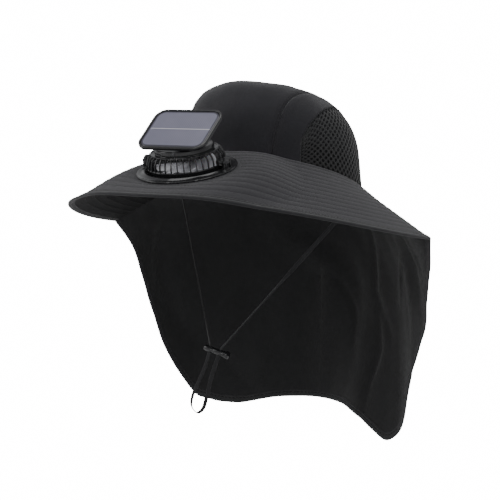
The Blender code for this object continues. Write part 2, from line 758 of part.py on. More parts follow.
def make_motor(pivot):
    """Motor on arms that reach the cage's lower ring."""
    motor = part("fan_motor", cylinder_mesh("fan_motor", MOTOR_RADIUS, MOTOR_HEIGHT, "Z",
                                            (0, 0, MOTOR_TOP - MOTOR_HEIGHT / 2), 20), PLASTIC, pivot)
    ring_r, ring_z = CAGE_PROFILE[-1][0] * CAGE_RADIUS, CAGE_PROFILE[-1][1] * CAGE_RADIUS
    reach, half = ring_r - CAGE_WALL - SEAM_GAP, SPOKE_WIDTH / 2
    for k in range(2):
        arm = box_mesh("arm", (-reach, -half, ring_z + ARM_LOW), (reach, half, ring_z + ARM_HIGH))
        arm.transform(Matrix.Rotation(math.pi / 4 + k * math.pi / 2, 4, "Z"))
        boolean(motor, cutter(f"motor_arm_{k}", arm, pivot), "UNION")


def make_rotor(pivot):
    """Hub with pitched blades."""
    bottom = MOTOR_TOP + SEAM_GAP
    middle = bottom + ROTOR_HEIGHT / 2
    hub = cylinder_mesh("fan_rotor", ROTOR_HUB, ROTOR_HEIGHT, "Z", (0, 0, middle), 21)
    rotor = part("fan_rotor", hub, BLADE, pivot)
    root = ROTOR_HUB * 0.8
    for k in range(BLADES):
        blade = box_mesh("blade", (root, -BLADE_HALF_CHORD, -BLADE_THICKNESS / 2),
                         (ROTOR_RADIUS, BLADE_HALF_CHORD, BLADE_THICKNESS / 2))
        blade.transform(Matrix.Translation((0, 0, middle)) @ Matrix.Rotation(2 * math.pi * k / BLADES, 4, "Z")
                        @ Matrix.Rotation(BLADE_PITCH, 4, "X"))
        boolean(rotor, cutter(f"blade_{k}", blade, pivot), "UNION")


def rounded_plate(name, width, depth, corner, low, high, steps=5):
    """A plate with round corners between two heights."""
    bm = bmesh.new()
    ring = []
    for x_side, y_side, start in ((1, 1, 0), (-1, 1, 90), (-1, -1, 180), (1, -1, 270)):
        middle = (x_side * (width / 2 - corner), y_side * (depth / 2 - corner))
        for k in range(steps + 1):
            turn = math.radians(start + 90 * k / steps)
            x, y = middle[0] + corner * math.cos(turn), middle[1] + corner * math.sin(turn)
            ring.append(bm.verts.new((x, y, low)))
    face = bm.faces.new(ring)
    grown = bmesh.ops.extrude_face_region(bm, geom=[face])
    moved = [v for v in grown["geom"] if isinstance(v, bmesh.types.BMVert)]
    bmesh.ops.translate(bm, verts=moved, vec=(0, 0, high - low))
    bmesh.ops.recalc_face_normals(bm, faces=bm.faces)
    return to_mesh(bm, name)


def make_drum(pivot):
    """Drum on the cage's hub, with its slot and button, and two cheeks for the panel's hinge."""
    middle = (DRUM_LOW + DRUM_TOP) / 2
    body = cylinder_mesh("panel_drum", DRUM_RADIUS, DRUM_TOP - DRUM_LOW, "Z", (0, 0, middle), 36)
    drum = part("panel_drum", body, PLASTIC, pivot)
    for name, side in (("left", 1), ("right", -1)):
        near = KNUCKLE_HALF + SEAM_GAP
        x_low, x_high = sorted((side * near, side * (near + CHEEK_THICKNESS)))
        low = (x_low, PANEL_SETBACK - KNUCKLE_RADIUS, middle)
        cheek = box_mesh("cheek", low, (x_high, PANEL_SETBACK + KNUCKLE_RADIUS, PANEL_PIVOT))
        boolean(drum, cutter(f"cheek_{name}", cheek, pivot), "UNION")
        place = ((x_low + x_high) / 2, PANEL_SETBACK, PANEL_PIVOT)
        head = cylinder_mesh("cheek_head", KNUCKLE_RADIUS, CHEEK_THICKNESS, "X", place, 16)
        boolean(drum, cutter(f"cheek_head_{name}", head, pivot), "UNION")
    slot = box_mesh("slot", (-SLOT_WIDTH / 2, -DRUM_RADIUS - SLOT_DEPTH, middle - SLOT_HEIGHT / 2),
                    (SLOT_WIDTH / 2, -DRUM_RADIUS + SLOT_DEPTH, middle + SLOT_HEIGHT / 2))
    slot.transform(Matrix.Rotation(SLOT_TURN, 4, "Z"))
    boolean(drum, cutter("slot", slot, pivot), "DIFFERENCE")
    place = (0, -DRUM_RADIUS - SLOT_DEPTH, middle)
    seat = cylinder_mesh("button_seat", BUTTON_RADIUS + SEAM_GAP, 4 * SLOT_DEPTH, "Y", place, 16)
    seat.transform(Matrix.Rotation(BUTTON_TURN, 4, "Z"))
    boolean(drum, cutter("button_seat", seat, pivot), "DIFFERENCE")
    back, front = -DRUM_RADIUS + SLOT_DEPTH - SEAM_GAP, -DRUM_RADIUS - BUTTON_PROUD
    place = (0, (back + front) / 2, middle)
    button = cylinder_mesh("drum_button", BUTTON_RADIUS, back - front, "Y", place, 16)
    button.transform(Matrix.Rotation(BUTTON_TURN, 4, "Z"))
    part("drum_button", button, PLASTIC, pivot)


def make_solar_head(hinge):
    """Bracket on the hinge, and the framed solar cell on it."""
    knuckle = cylinder_mesh("panel_bracket", KNUCKLE_RADIUS, 2 * KNUCKLE_HALF, "X", (0, 0, 0), 16)
    bracket = part("panel_bracket", knuckle, PLASTIC, hinge)
    plate_top = PANEL_LIFT - SEAM_GAP
    plate_low = plate_top - BRACKET_PLATE
    stem = box_mesh("stem", (-KNUCKLE_HALF, -KNUCKLE_RADIUS, 0), (KNUCKLE_HALF, KNUCKLE_RADIUS, plate_top))
    boolean(bracket, cutter("bracket_stem", stem, hinge), "UNION")
    plate = cylinder_mesh("plate", BRACKET_RADIUS, BRACKET_PLATE, "Z", (0, 0, (plate_low + plate_top) / 2), 24)
    boolean(bracket, cutter("bracket_plate", plate, hinge), "UNION")
    low = PANEL_LIFT
    high = low + PANEL_THICKNESS
    width, depth, corner = PANEL_WIDTH, PANEL_DEPTH, PANEL_CORNER
    plate = rounded_plate("panel_frame", width, depth, corner, low, high)
    frame = part("panel_frame", plate, PLASTIC, hinge)
    width, depth, corner = width - 2 * PANEL_RIM, depth - 2 * PANEL_RIM, corner - PANEL_RIM
    floor = high - 2 * CELL_SINK
    pocket = rounded_plate("pocket", width, depth, corner, floor, high + CELL_SINK)
    boolean(frame, cutter("cell_pocket", pocket, hinge), "DIFFERENCE")
    cell = rounded_plate("solar_cell", width - 2 * SEAM_GAP, depth - 2 * SEAM_GAP, corner - SEAM_GAP,
                         floor + SEAM_GAP, high - CELL_SINK / 2)
    part("solar_cell", cell, CELL, hinge)


def cord_piece(name, points):
    """A stretch of cord along points."""
    data = bpy.data.curves.new(name, "CURVE")
    data.dimensions = "3D"
    data.bevel_depth = CORD_RADIUS
    data.bevel_resolution = 2
    data.use_fill_caps = True
    line = data.splines.new("POLY")
    line.points.add(len(points) - 1)
    for slot, point in zip(line.points, points):
        slot.co = (*point, 1.0)
    return part(name, data, CORD)


def lock_point(along, across=0.0, down=0.0):
    """Point near the cord lock, along its bar and across it."""
    bar = np.array((math.cos(LOCK_TURN), 0, -math.sin(LOCK_TURN)))
    up = np.array((math.sin(LOCK_TURN), 0, math.cos(LOCK_TURN)))
    return np.array(LOCK_CENTRE) + bar * along + np.array((0, across, 0)) - up * down


def make_chin_cord():
    """Two strands from under the brim to the lock, and the loop that hangs under it."""
    seat = LOCK_RADIUS + SEAM_GAP + CORD_RADIUS * 0.6
    for name, top, along, count in (("left", CORD_TOP_LEFT, 0.0060, CORD_POINTS_LEFT),
                                    ("right", CORD_TOP_RIGHT, -0.0060, CORD_POINTS_RIGHT)):
        end = lock_point(along, 0.0, -seat)
        points = [np.array(top) + (end - np.array(top)) * k / count for k in range(count + 1)]
        cord_piece(f"chin_strand_{name}", points)
    centre = np.array(LOCK_CENTRE)
    route = [(k / (len(LOOP_ROUTE) - 1), across, down) for k, (across, down) in enumerate(LOOP_ROUTE)]
    seat = LOCK_RADIUS + SEAM_GAP + CORD_RADIUS * 0.2
    points = [lock_point(-0.0060, 0, seat)]
    for k in range(1, CORD_POINTS_LOOP):
        across, down = spline(route, k / CORD_POINTS_LOOP)
        points.append(centre + np.array((across, 0, down)))
    points.append(lock_point(0.0060, 0, seat))
    cord_piece("chin_loop", points)


def make_lock():
    """Barrel lock with its round push button."""
    turn = Matrix.Translation(LOCK_CENTRE) @ Matrix.Rotation(LOCK_TURN, 4, "Y")
    barrel = cylinder_mesh("cord_lock", LOCK_RADIUS, LOCK_LENGTH, "X", (0, 0, 0), 16)
    lock = part("cord_lock", barrel, PLASTIC)
    lock.matrix_world = turn
    start = LOCK_LENGTH / 2 + SEAM_GAP
    button = cylinder_mesh("lock_button", LOCK_BUTTON_RADIUS, LOCK_BUTTON_LENGTH, "X",
                           (start + LOCK_BUTTON_LENGTH / 2, 0, 0), 16)
    push = part("lock_button", button, PLASTIC)
    push.matrix_world = turn


for old in list(bpy.data.objects):
    bpy.data.objects.remove(old, do_unlink=True)

PARTS = collection("sun_hat")
CUTTERS = collection("cutters")
CLOTH = material("hat_cloth", (0.035, 0.035, 0.038), 0.85)
TRIM = material("binding_tape", (0.028, 0.028, 0.031), 0.75)
NET = material("net_mesh", (0.020, 0.020, 0.022), 0.80)
PLASTIC = material("gloss_black_plastic", (0.012, 0.012, 0.013), 0.22)
BLADE = material("rotor_grey_plastic", (0.30, 0.30, 0.32), 0.35)
CELL = material("solar_cell_glass", (0.09, 0.09, 0.13), 0.12)
CORD = material("chin_cord_tape", (0.022, 0.022, 0.024), 0.80)

make_crown()
make_sweatband()
make_brim()
make_flap()
fan_centre, fan_tilt = fan_place()
FAN_FRAME = empty("fan_frame", None, fan_centre, fan_tilt)
CAGE_PIVOT = empty("cage_pivot", FAN_FRAME, (0, 0, PIVOT_HEIGHT))
PANEL_HINGE = empty("panel_hinge", CAGE_PIVOT, (0, PANEL_SETBACK, PANEL_PIVOT), PANEL_TILT)
make_flange(FAN_FRAME)
make_cage(CAGE_PIVOT)
make_motor(CAGE_PIVOT)
make_rotor(CAGE_PIVOT)
make_drum(CAGE_PIVOT)
make_solar_head(PANEL_HINGE)
make_chin_cord()
make_lock()
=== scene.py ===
"""Looks of the sun hat: stitched brim, netted crown, neck flap, fan with its solar head
and the chin cord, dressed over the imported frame. Metres, +Z up, front towards -Y."""

import math

import bmesh
import bpy
import numpy as np
from mathutils import Matrix, Vector


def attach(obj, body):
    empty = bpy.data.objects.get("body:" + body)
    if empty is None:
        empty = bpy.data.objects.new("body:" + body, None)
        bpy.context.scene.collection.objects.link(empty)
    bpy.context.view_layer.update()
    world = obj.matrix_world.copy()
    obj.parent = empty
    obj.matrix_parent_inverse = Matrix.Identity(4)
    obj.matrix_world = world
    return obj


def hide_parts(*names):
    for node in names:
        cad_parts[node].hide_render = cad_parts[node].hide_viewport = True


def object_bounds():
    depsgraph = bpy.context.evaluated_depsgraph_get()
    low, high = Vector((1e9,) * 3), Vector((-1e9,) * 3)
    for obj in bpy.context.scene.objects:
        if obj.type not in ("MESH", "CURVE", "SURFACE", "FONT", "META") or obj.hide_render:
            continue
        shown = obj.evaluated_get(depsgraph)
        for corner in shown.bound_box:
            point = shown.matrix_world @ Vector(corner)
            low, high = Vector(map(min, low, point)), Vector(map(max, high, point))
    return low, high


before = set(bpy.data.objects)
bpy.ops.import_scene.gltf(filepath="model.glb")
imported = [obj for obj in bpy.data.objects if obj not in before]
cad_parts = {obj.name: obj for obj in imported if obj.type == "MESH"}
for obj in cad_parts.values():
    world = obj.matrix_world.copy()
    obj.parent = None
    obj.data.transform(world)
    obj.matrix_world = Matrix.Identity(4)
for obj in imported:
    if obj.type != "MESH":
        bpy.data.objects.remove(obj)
CAD_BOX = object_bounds()

# Camera: where the photograph was taken from
VIEW_TURN = math.radians(29.8)
VIEW_HEIGHT = math.radians(6.7)
VIEW_DISTANCE = 1.6
VIEW_CENTRE = (-0.024, -0.078)
LENS = 110.3
SENSOR = 36.0

# Sizes shared with the solids
SEAM_GAP = 0.0004
CROWN_WALL = 0.0015
BRIM_WALL = 0.0024
FLAP_WALL = 0.0014
HAT_PITCH = math.radians(16.4)
CROWN_HALF_WIDTH = 0.088
CROWN_HALF_LENGTH = 0.106
CROWN_HEIGHT = 0.085
CROWN_FULLNESS = 3.19
CROWN_LEAN = -0.0185
CROWN_FOOT = 0.0035
CENTRE_HALF_WIDTH = 0.046
SEAM_LEAN = 0.12
SWEATBAND_HEIGHT = 0.022
NET_FRONT = math.radians(50)
NET_REAR = math.radians(136)
NET_TOP_EDGE = ((0.00, 0.26), (0.07, 0.47), (0.22, 0.69), (0.45, 0.825), (0.70, 0.83), (0.90, 0.74), (1.00, 0.58))
BRIM_HALF_WIDTH = 0.188
BRIM_REACH = 0.244
BRIM_SHIFT = 0.007
BRIM_DROP = 0.039
BRIM_FRONT_DROP = 0.048
BRIM_ROLL = 0.017
BRIM_TIP_LIFT = 0.003
BRIM_END = math.radians(87.4)
BINDING_WIDTH = 0.0075
HEM_WIDTH = 0.0062
FLAP_LENGTH = 0.277
FLAP_BACK = 0.102
FLAP_EDGE = (
    (0.00, 1.000, -0.196, -0.199),
    (0.10, 0.987, -0.137, -0.304),
    (0.20, 0.946, -0.049, -0.414),
    (0.32, 0.884, 0.078, -0.559),
    (0.44, 0.829, 0.196, -0.718),
    (0.54, 0.752, 0.314, -0.864),
    (0.61, 0.679, 0.422, -0.968),
    (0.66, 0.591, 0.471, -1.010),
    (0.71, 0.493, 0.549, -0.987),
    (0.79, 0.375, 0.686, -0.949),
    (0.88, 0.237, 0.843, -0.925),
    (0.95, 0.100, 0.975, -0.923),
    (1.00, 0.000, 1.000, -0.922),
)
FLAP_RIGHT_CHANGE = (
    (0.00, 0.000, 0.000),
    (0.10, -0.092, 0.002),
    (0.20, -0.080, 0.002),
    (0.32, -0.050, 0.001),
    (0.44, -0.031, 0.001),
    (0.61, -0.026, 0.053),
    (0.66, -0.008, 0.078),
    (0.71, 0.018, 0.042),
    (0.79, 0.018, 0.003),
    (1.00, 0.000, 0.000),
)
FLAP_PULL = (
    (0.00, 0.734, -0.123, -0.098),
    (0.12, 0.790, 0.040, -0.135),
    (0.25, 0.815, 0.250, -0.175),
    (0.50, 0.740, 0.700, -0.280),
    (0.75, 0.440, 1.180, -0.400),
    (1.00, 0.000, 1.330, -0.440),
)
FLAP_FOLDS = ((0.30, 2.0, 0.06), (0.48, -2.4, 0.07), (0.82, -2.6, 0.07), (1.00, 2.0, 0.08))
FOLD_UNIT = 0.0014
FAN_SHARE = 0.453
FLANGE_RADIUS = 0.0485
FLANGE_INNER = 0.0395
FLANGE_HEIGHT = 0.0032
NECK_WALL = 0.0018
NECK_DEPTH = 0.009
FLAT_MARGIN = 0.003
FLAT_BLEND = 0.060
EAR_INNER = 0.0425
EAR_THICKNESS = 0.0032
PIVOT_HEIGHT = 0.009
CAGE_RADIUS = 0.0375
PANEL_TILT = math.radians(26.3)
PANEL_SETBACK = 0.0025
PANEL_PIVOT = 0.0196
PANEL_LIFT = 0.0105
PANEL_WIDTH = 0.075
PANEL_DEPTH = 0.0555
PANEL_THICKNESS = 0.0042
PANEL_CORNER = 0.012
PANEL_RIM = 0.0024
DRUM_RADIUS = 0.0285
DRUM_LOW = 0.0098
DRUM_TOP = 0.0162
SLOT_TURN = math.radians(-26)
BUTTON_TURN = math.radians(9.5)
CORD_WIDTH = 0.0042
CORD_THICKNESS = 0.0011
CORD_TOP_LEFT = (0.108, -0.011, -0.0134)
CORD_TOP_RIGHT = (-0.108, -0.011, -0.0128)
LOCK_CENTRE = (-0.065, -0.011, -0.190)
LOCK_LENGTH = 0.026
LOCK_RADIUS = 0.0032
LOCK_TURN = math.radians(12.7)
LOOP_ROUTE = (
    (-0.0065, -0.0040),
    (-0.0120, -0.0180),
    (-0.0215, -0.0380),
    (-0.0285, -0.0530),
    (-0.0295, -0.0640),
    (-0.0225, -0.0705),
    (-0.0150, -0.0650),
    (-0.0105, -0.0520),
    (-0.0040, -0.0280),
    (0.0050, -0.0060),
)

# Stitching
STITCH_ROWS = 12
STITCH_LENGTH = 0.0026
STITCH_PITCH = 0.0034
STITCH_RADIUS = 0.00022


def view_axes():
    """Camera's right, up and back directions."""
    a, e = VIEW_TURN, VIEW_HEIGHT
    right = Vector((math.cos(a), math.sin(a), 0))
    up = Vector((-math.sin(a) * math.sin(e), math.cos(a) * math.sin(e), math.cos(e)))
    back = Vector((math.sin(a) * math.cos(e), -math.cos(a) * math.cos(e), math.sin(e)))
    return right, up, back


def make_camera():
    """Camera at the photograph's angle to the hat."""
    right, up, back = view_axes()
    data = bpy.data.cameras.new("camera")
    data.lens = LENS
    data.sensor_width = SENSOR
    data.clip_start = 0.05
    obj = bpy.data.objects.new("camera", data)
    bpy.context.scene.collection.objects.link(obj)
    place = right * VIEW_CENTRE[0] + up * VIEW_CENTRE[1] + back * VIEW_DISTANCE
    turn = Matrix((right, up, back)).transposed().to_4x4()
    obj.matrix_world = Matrix.Translation(place) @ turn
    bpy.context.scene.camera = obj


def table(rows, at):
    """Smooth values of a table at many shares, as an array with one row for each share."""
    rows = np.array(rows, dtype=float)
    keys, values = rows[:, 0], rows[:, 1:]
    at = np.asarray(at, dtype=float)
    k = np.clip(np.searchsorted(keys, at) - 1, 0, len(keys) - 2)
    last = len(keys) - 1
    low, high = np.maximum(np.arange(last + 1) - 1, 0), np.minimum(np.arange(last + 1) + 1, last)
    slopes = (values[high] - values[low]) / (keys[high] - keys[low])[:, None]
    step = (keys[k + 1] - keys[k])[..., None]
    t = (at - keys[k])[..., None] / step
    return ((2 * t**3 - 3 * t**2 + 1) * values[k] + (t**3 - 2 * t**2 + t) * step * slopes[k]
            + (-2 * t**3 + 3 * t**2) * values[k + 1] + (t**3 - t**2) * step * slopes[k + 1])


def stack(x, y, z):
    """Points from arrays of coordinates."""
    x, y, z = np.broadcast_arrays(x, y, z)
    return np.stack((x, y, z), axis=-1).astype(float)


def fade(edge, span, value):
    """1 below edge, falling smoothly to 0 over span."""
    t = np.clip((value - edge) / span, 0.0, 1.0)
    return 1 - t * t * (3 - 2 * t)


def worn(points):
    """From the level hat to the hat as it is worn."""
    c, s = math.cos(HAT_PITCH), math.sin(HAT_PITCH)
    x, y, z = points[..., 0], points[..., 1], points[..., 2]
    return stack(x, c * y + s * z, -s * y + c * z)


def dome(phi, height, inset=0.0):
    """Level crown at angles from the front and shares of its height."""
    height = np.clip(height, 0.0, 1.0)
    ring = (1 - height**CROWN_FULLNESS) ** (1 / CROWN_FULLNESS)
    x = (CROWN_HALF_WIDTH - inset) * ring * np.sin(phi)
    y = -(CROWN_HALF_LENGTH - inset) * ring * np.cos(phi) + CROWN_LEAN * height
    return stack(x, y, (CROWN_HEIGHT - inset) * height)


def crown_base(phi, grow=0.0):
    """Where brim and flap leave the crown."""
    x = (CROWN_HALF_WIDTH + SEAM_GAP + grow) * np.sin(phi)
    y = -(CROWN_HALF_LENGTH + SEAM_GAP + grow) * np.cos(phi)
    return worn(stack(x, y, 0.0))


def brim_edge(phi):
    """Outer edge of the brim."""
    x = BRIM_HALF_WIDTH * np.sin(phi)
    y = BRIM_SHIFT - BRIM_REACH * np.cos(phi)
    z = (-BRIM_DROP - BRIM_FRONT_DROP * np.cos(phi) + BRIM_ROLL * np.cos(2 * phi)
         - BRIM_TIP_LIFT * np.cos(3 * phi))
    return worn(stack(x, y, z))


def fan_place():
    """Centre of the fan on the brim and its forward tilt."""
    inner, outer = crown_base(np.array(0.0)), brim_edge(np.array(0.0))
    run = outer - inner
    return inner + FAN_SHARE * run, math.atan2(-run[2], -run[1])


FAN_CENTRE, FAN_TILT = fan_place()
FAN_UP = np.array((0, -math.sin(FAN_TILT), math.cos(FAN_TILT)))
FAN_MATRIX = Matrix.Translation(FAN_CENTRE) @ Matrix.Rotation(FAN_TILT, 4, "X")
CAGE_MATRIX = FAN_MATRIX @ Matrix.Translation((0, 0, PIVOT_HEIGHT))
HINGE_MATRIX = (CAGE_MATRIX @ Matrix.Translation((0, PANEL_SETBACK, PANEL_PIVOT))
                @ Matrix.Rotation(PANEL_TILT, 4, "X"))


def brim_point(phi, share):
    """Top of the brim, held flat under the fan's flange."""
    start, end = crown_base(phi), brim_edge(phi)
    point = start + share[..., None] * (end - start)
    lift = (point - FAN_CENTRE) @ FAN_UP
    reach = np.linalg.norm(point - FAN_CENTRE - lift[..., None] * FAN_UP, axis=-1)
    return point - (fade(FLANGE_RADIUS + FLAT_MARGIN, FLAT_BLEND, reach) * lift)[..., None] * FAN_UP


def flap_point(turn, share):
    """Outside of the neck flap: turn runs -1..1 from the right end round to the left."""
    turn, share = np.broadcast_arrays(np.asarray(turn, float), np.asarray(share, float))
    side = np.where(turn >= 0, 1.0, -1.0)
    way = 1 - np.abs(turn)
    phi = BRIM_END + way * (math.pi - BRIM_END)
    near = fade(0.0, 0.15, way)[..., None]
    scale = np.array((BRIM_HALF_WIDTH, FLAP_BACK, FLAP_LENGTH))
    start = crown_base(phi)
    out = stack(np.sin(phi), -np.cos(phi), 0.0)
    start = start + out * FLAP_WALL * (1 - near)
    edge = table(FLAP_EDGE, way) * scale
    change = table(FLAP_RIGHT_CHANGE, way)
    right = (turn < 0).astype(float)
    edge = edge + stack(change[..., 0] * BRIM_HALF_WIDTH * right, 0.0, change[..., 1] * FLAP_LENGTH * right)
    pull = table(FLAP_PULL, way) * scale
    corner, root = brim_edge(np.array(BRIM_END)), crown_base(np.array(BRIM_END))
    edge = edge + near * (corner - np.array(FLAP_EDGE[0][1:]) * scale)
    pull = pull + near * ((corner + root) / 2 - np.array(FLAP_PULL[0][1:]) * scale)
    s = share[..., None]
    point = (1 - s) ** 2 * start + 2 * s * (1 - s) * pull + s**2 * edge
    for place, depth, width in FLAP_FOLDS:
        bell = np.exp(-((way - place) / width) ** 2) * depth * FOLD_UNIT * np.maximum(share, 0) ** 1.5
        point = point + out * bell[..., None]
    return point * stack(side, 1.0, 1.0)


def normals_of(points, flip=1.0):
    """Unit normals of a grid of points."""
    across = np.gradient(points, axis=1)
    down = np.gradient(points, axis=0)
    normal = np.cross(down, across) * flip
    return normal / np.maximum(np.linalg.norm(normal, axis=-1, keepdims=True), 1e-9)


def ripple(u, v, seed, pitch):
    """Soft uneven swell between -1 and 1, the same each run."""
    rng = np.random.default_rng(seed)
    total = np.zeros(np.broadcast(u, v).shape)
    for _ in range(7):
        turn, phase, size = rng.uniform(0, 2 * math.pi), rng.uniform(0, 2 * math.pi), rng.uniform(0.6, 1.8)
        total += np.sin((u * math.cos(turn) + v * math.sin(turn)) * 2 * math.pi * size / pitch + phase)
    return total / 3.5


# Materials


def new_material(name, colour, roughness, metallic=0.0, **sockets):
    """A Principled material, with its tree and shader to build on."""
    made = bpy.data.materials.new(name)
    made.use_nodes = True
    tree = made.node_tree
    shader = tree.nodes["Principled BSDF"]
    shader.inputs["Base Color"].default_value = (*colour, 1)
    shader.inputs["Roughness"].default_value = roughness
    shader.inputs["Metallic"].default_value = metallic
    for key, value in sockets.items():
        shader.inputs[key.replace("_", " ")].default_value = value
    return made, tree, shader


def add(tree, kind, links=(), **values):
    """Add a node, set its values and link its inputs."""
    node = tree.nodes.new(kind)
    for key, value in values.items():
        if hasattr(node, key):
            setattr(node, key, value)
        else:
            node.inputs[key.replace("_", " ")].default_value = value
    for socket, source in links:
        tree.links.new(source, node.inputs[socket])
    return node


def mix_colour(tree, factor, dark, light):
    """Blend of two colours by a factor."""
    node = tree.nodes.new("ShaderNodeMix")
    node.data_type = "RGBA"
    tree.links.new(factor, node.inputs[0])
    for socket, colour in ((6, dark), (7, light)):
        if isinstance(colour, tuple):
            node.inputs[socket].default_value = (*colour, 1)
        else:
            tree.links.new(colour, node.inputs[socket])
    return node.outputs[2]


def cloth_material(name, dark, light, weave=0.0007, roughness=0.86, sheen=0.25, slub=0.35, depth=0.00012):
    """Woven polyester: over-and-under threads, slubby yarn, soft patches."""
    made, tree, shader = new_material(name, dark, roughness, Sheen_Weight=sheen, Sheen_Roughness=0.45,
                                      Specular_IOR_Level=0.25)
    place = add(tree, "ShaderNodeTexCoord")
    uv, body = place.outputs["UV"], place.outputs["Object"]
    warp = add(tree, "ShaderNodeTexWave", [("Vector", uv)], bands_direction="X", Scale=0.31 / weave, Distortion=0.6)
    weft = add(tree, "ShaderNodeTexWave", [("Vector", uv)], bands_direction="Y", Scale=0.31 / weave, Distortion=0.6)
    threads = add(tree, "ShaderNodeMath", [(0, warp.outputs["Fac"]), (1, weft.outputs["Fac"])], operation="MULTIPLY")
    patches = add(tree, "ShaderNodeTexNoise", [("Vector", body)], Scale=22.0, Detail=4.0)
    streak_space = add(tree, "ShaderNodeMapping", [("Vector", uv)])
    streak_space.inputs["Scale"].default_value = (1400, 110, 1)
    across_space = add(tree, "ShaderNodeMapping", [("Vector", uv)])
    across_space.inputs["Scale"].default_value = (110, 1400, 1)
    streak = add(tree, "ShaderNodeTexNoise", [("Vector", streak_space.outputs[0])], Scale=1.0, Detail=2.0)
    across = add(tree, "ShaderNodeTexNoise", [("Vector", across_space.outputs[0])], Scale=1.0, Detail=2.0)
    slubs = add(tree, "ShaderNodeMath", [(0, streak.outputs["Fac"]), (1, across.outputs["Fac"])], operation="ADD")
    mixed = add(tree, "ShaderNodeMath", [(0, slubs.outputs[0]), (1, patches.outputs["Fac"])], operation="ADD")
    shade = add(tree, "ShaderNodeMapRange", [("Value", mixed.outputs[0])])
    shade.inputs["From Min"].default_value = 1.5 - slub * 1.4
    shade.inputs["From Max"].default_value = 1.5 + slub * 1.4
    colour = mix_colour(tree, shade.outputs[0], dark, light)
    tree.links.new(colour, shader.inputs["Base Color"])
    fine = add(tree, "ShaderNodeBump", [("Height", threads.outputs[0])], Strength=0.7, Distance=depth)
    coarse = add(tree, "ShaderNodeBump", [("Height", slubs.outputs[0]), ("Normal", fine.outputs[0])],
                 Strength=0.5, Distance=depth * 1.5)
    tree.links.new(coarse.outputs[0], shader.inputs["Normal"])
    return made


def plastic_material(name, colour, roughness, grain=0.00002, wear=0.06):
    """Moulded plastic: fine grain, uneven gloss and faint handling marks."""
    made, tree, shader = new_material(name, colour, roughness, Coat_Weight=0.35, Coat_Roughness=0.08)
    place = add(tree, "ShaderNodeTexCoord")
    body = place.outputs["Object"]
    fine = add(tree, "ShaderNodeTexNoise", [("Vector", body)], Scale=2600.0, Detail=2.0)
    marks = add(tree, "ShaderNodeTexNoise", [("Vector", body)], Scale=160.0, Detail=6.0)
    gloss = add(tree, "ShaderNodeMapRange", [("Value", marks.outputs["Fac"])])
    gloss.inputs["To Min"].default_value = roughness - wear
    gloss.inputs["To Max"].default_value = roughness + wear * 2
    tree.links.new(gloss.outputs[0], shader.inputs["Roughness"])
    lighter = tuple(c * 1.5 + 0.002 for c in colour)
    tree.links.new(mix_colour(tree, marks.outputs["Fac"], colour, lighter), shader.inputs["Base Color"])
    bump = add(tree, "ShaderNodeBump", [("Height", fine.outputs["Fac"])], Strength=0.4, Distance=grain)
    tree.links.new(bump.outputs[0], shader.inputs["Normal"])
    return made


def cell_material():
    """Solar cell under clear resin: grey-violet silicon, one light bus line, thin fingers and a dark border."""
    made, tree, shader = new_material("solar_cell", (0.11, 0.11, 0.16), 0.3, Coat_Weight=1.0, Coat_Roughness=0.04)
    place = add(tree, "ShaderNodeTexCoord")
    split = add(tree, "ShaderNodeSeparateXYZ", [("Vector", place.outputs["UV"])])
    x, y = split.outputs["X"], split.outputs["Y"]
    away = add(tree, "ShaderNodeMath", [(0, y)], operation="ABSOLUTE")
    bus = add(tree, "ShaderNodeMath", [(0, away.outputs[0])], operation="LESS_THAN")
    bus.inputs[1].default_value = 0.00042
    reach = add(tree, "ShaderNodeMath", [(0, x)], operation="ABSOLUTE")
    inside = add(tree, "ShaderNodeMath", [(0, reach.outputs[0])], operation="LESS_THAN")
    inside.inputs[1].default_value = 0.0335
    line = add(tree, "ShaderNodeMath", [(0, bus.outputs[0]), (1, inside.outputs[0])], operation="MULTIPLY")
    fingers = add(tree, "ShaderNodeTexWave", [("Vector", place.outputs["UV"])], bands_direction="X", Scale=0.31 / 0.0021)
    sharp = add(tree, "ShaderNodeMapRange", [("Value", fingers.outputs["Fac"])])
    sharp.inputs["From Min"].default_value = 0.55
    tint = add(tree, "ShaderNodeTexNoise", [("Vector", place.outputs["UV"])], Scale=55.0, Detail=3.0)
    silicon = mix_colour(tree, tint.outputs["Fac"], (0.085, 0.085, 0.143), (0.155, 0.150, 0.212))
    with_fingers = mix_colour(tree, sharp.outputs[0], silicon, (0.185, 0.183, 0.235))
    with_line = mix_colour(tree, line.outputs[0], with_fingers, (0.55, 0.54, 0.58))
    corner = PANEL_CORNER - PANEL_RIM
    flip = add(tree, "ShaderNodeVectorMath", [(0, place.outputs["UV"])], operation="ABSOLUTE")
    past = add(tree, "ShaderNodeVectorMath", [(0, flip.outputs[0])], operation="SUBTRACT")
    past.inputs[1].default_value = (PANEL_WIDTH / 2 - PANEL_CORNER, PANEL_DEPTH / 2 - PANEL_CORNER, 0)
    outer = add(tree, "ShaderNodeVectorMath", [(0, past.outputs[0])], operation="MAXIMUM")
    outer.inputs[1].default_value = (0, 0, 0)
    far = add(tree, "ShaderNodeVectorMath", [(0, outer.outputs[0])], operation="LENGTH")
    border = add(tree, "ShaderNodeMath", [(0, far.outputs["Value"])], operation="GREATER_THAN")
    border.inputs[1].default_value = corner - 0.0024
    whole = mix_colour(tree, border.outputs[0], with_line, (0.012, 0.012, 0.030))
    tree.links.new(whole, shader.inputs["Base Color"])
    return made


# Mesh tools


def link(obj, body, nodes=()):
    """Put a finished piece on its body and hide the imported parts it stands in for."""
    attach(obj, body)
    if nodes:
        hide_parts(*nodes)
    return obj


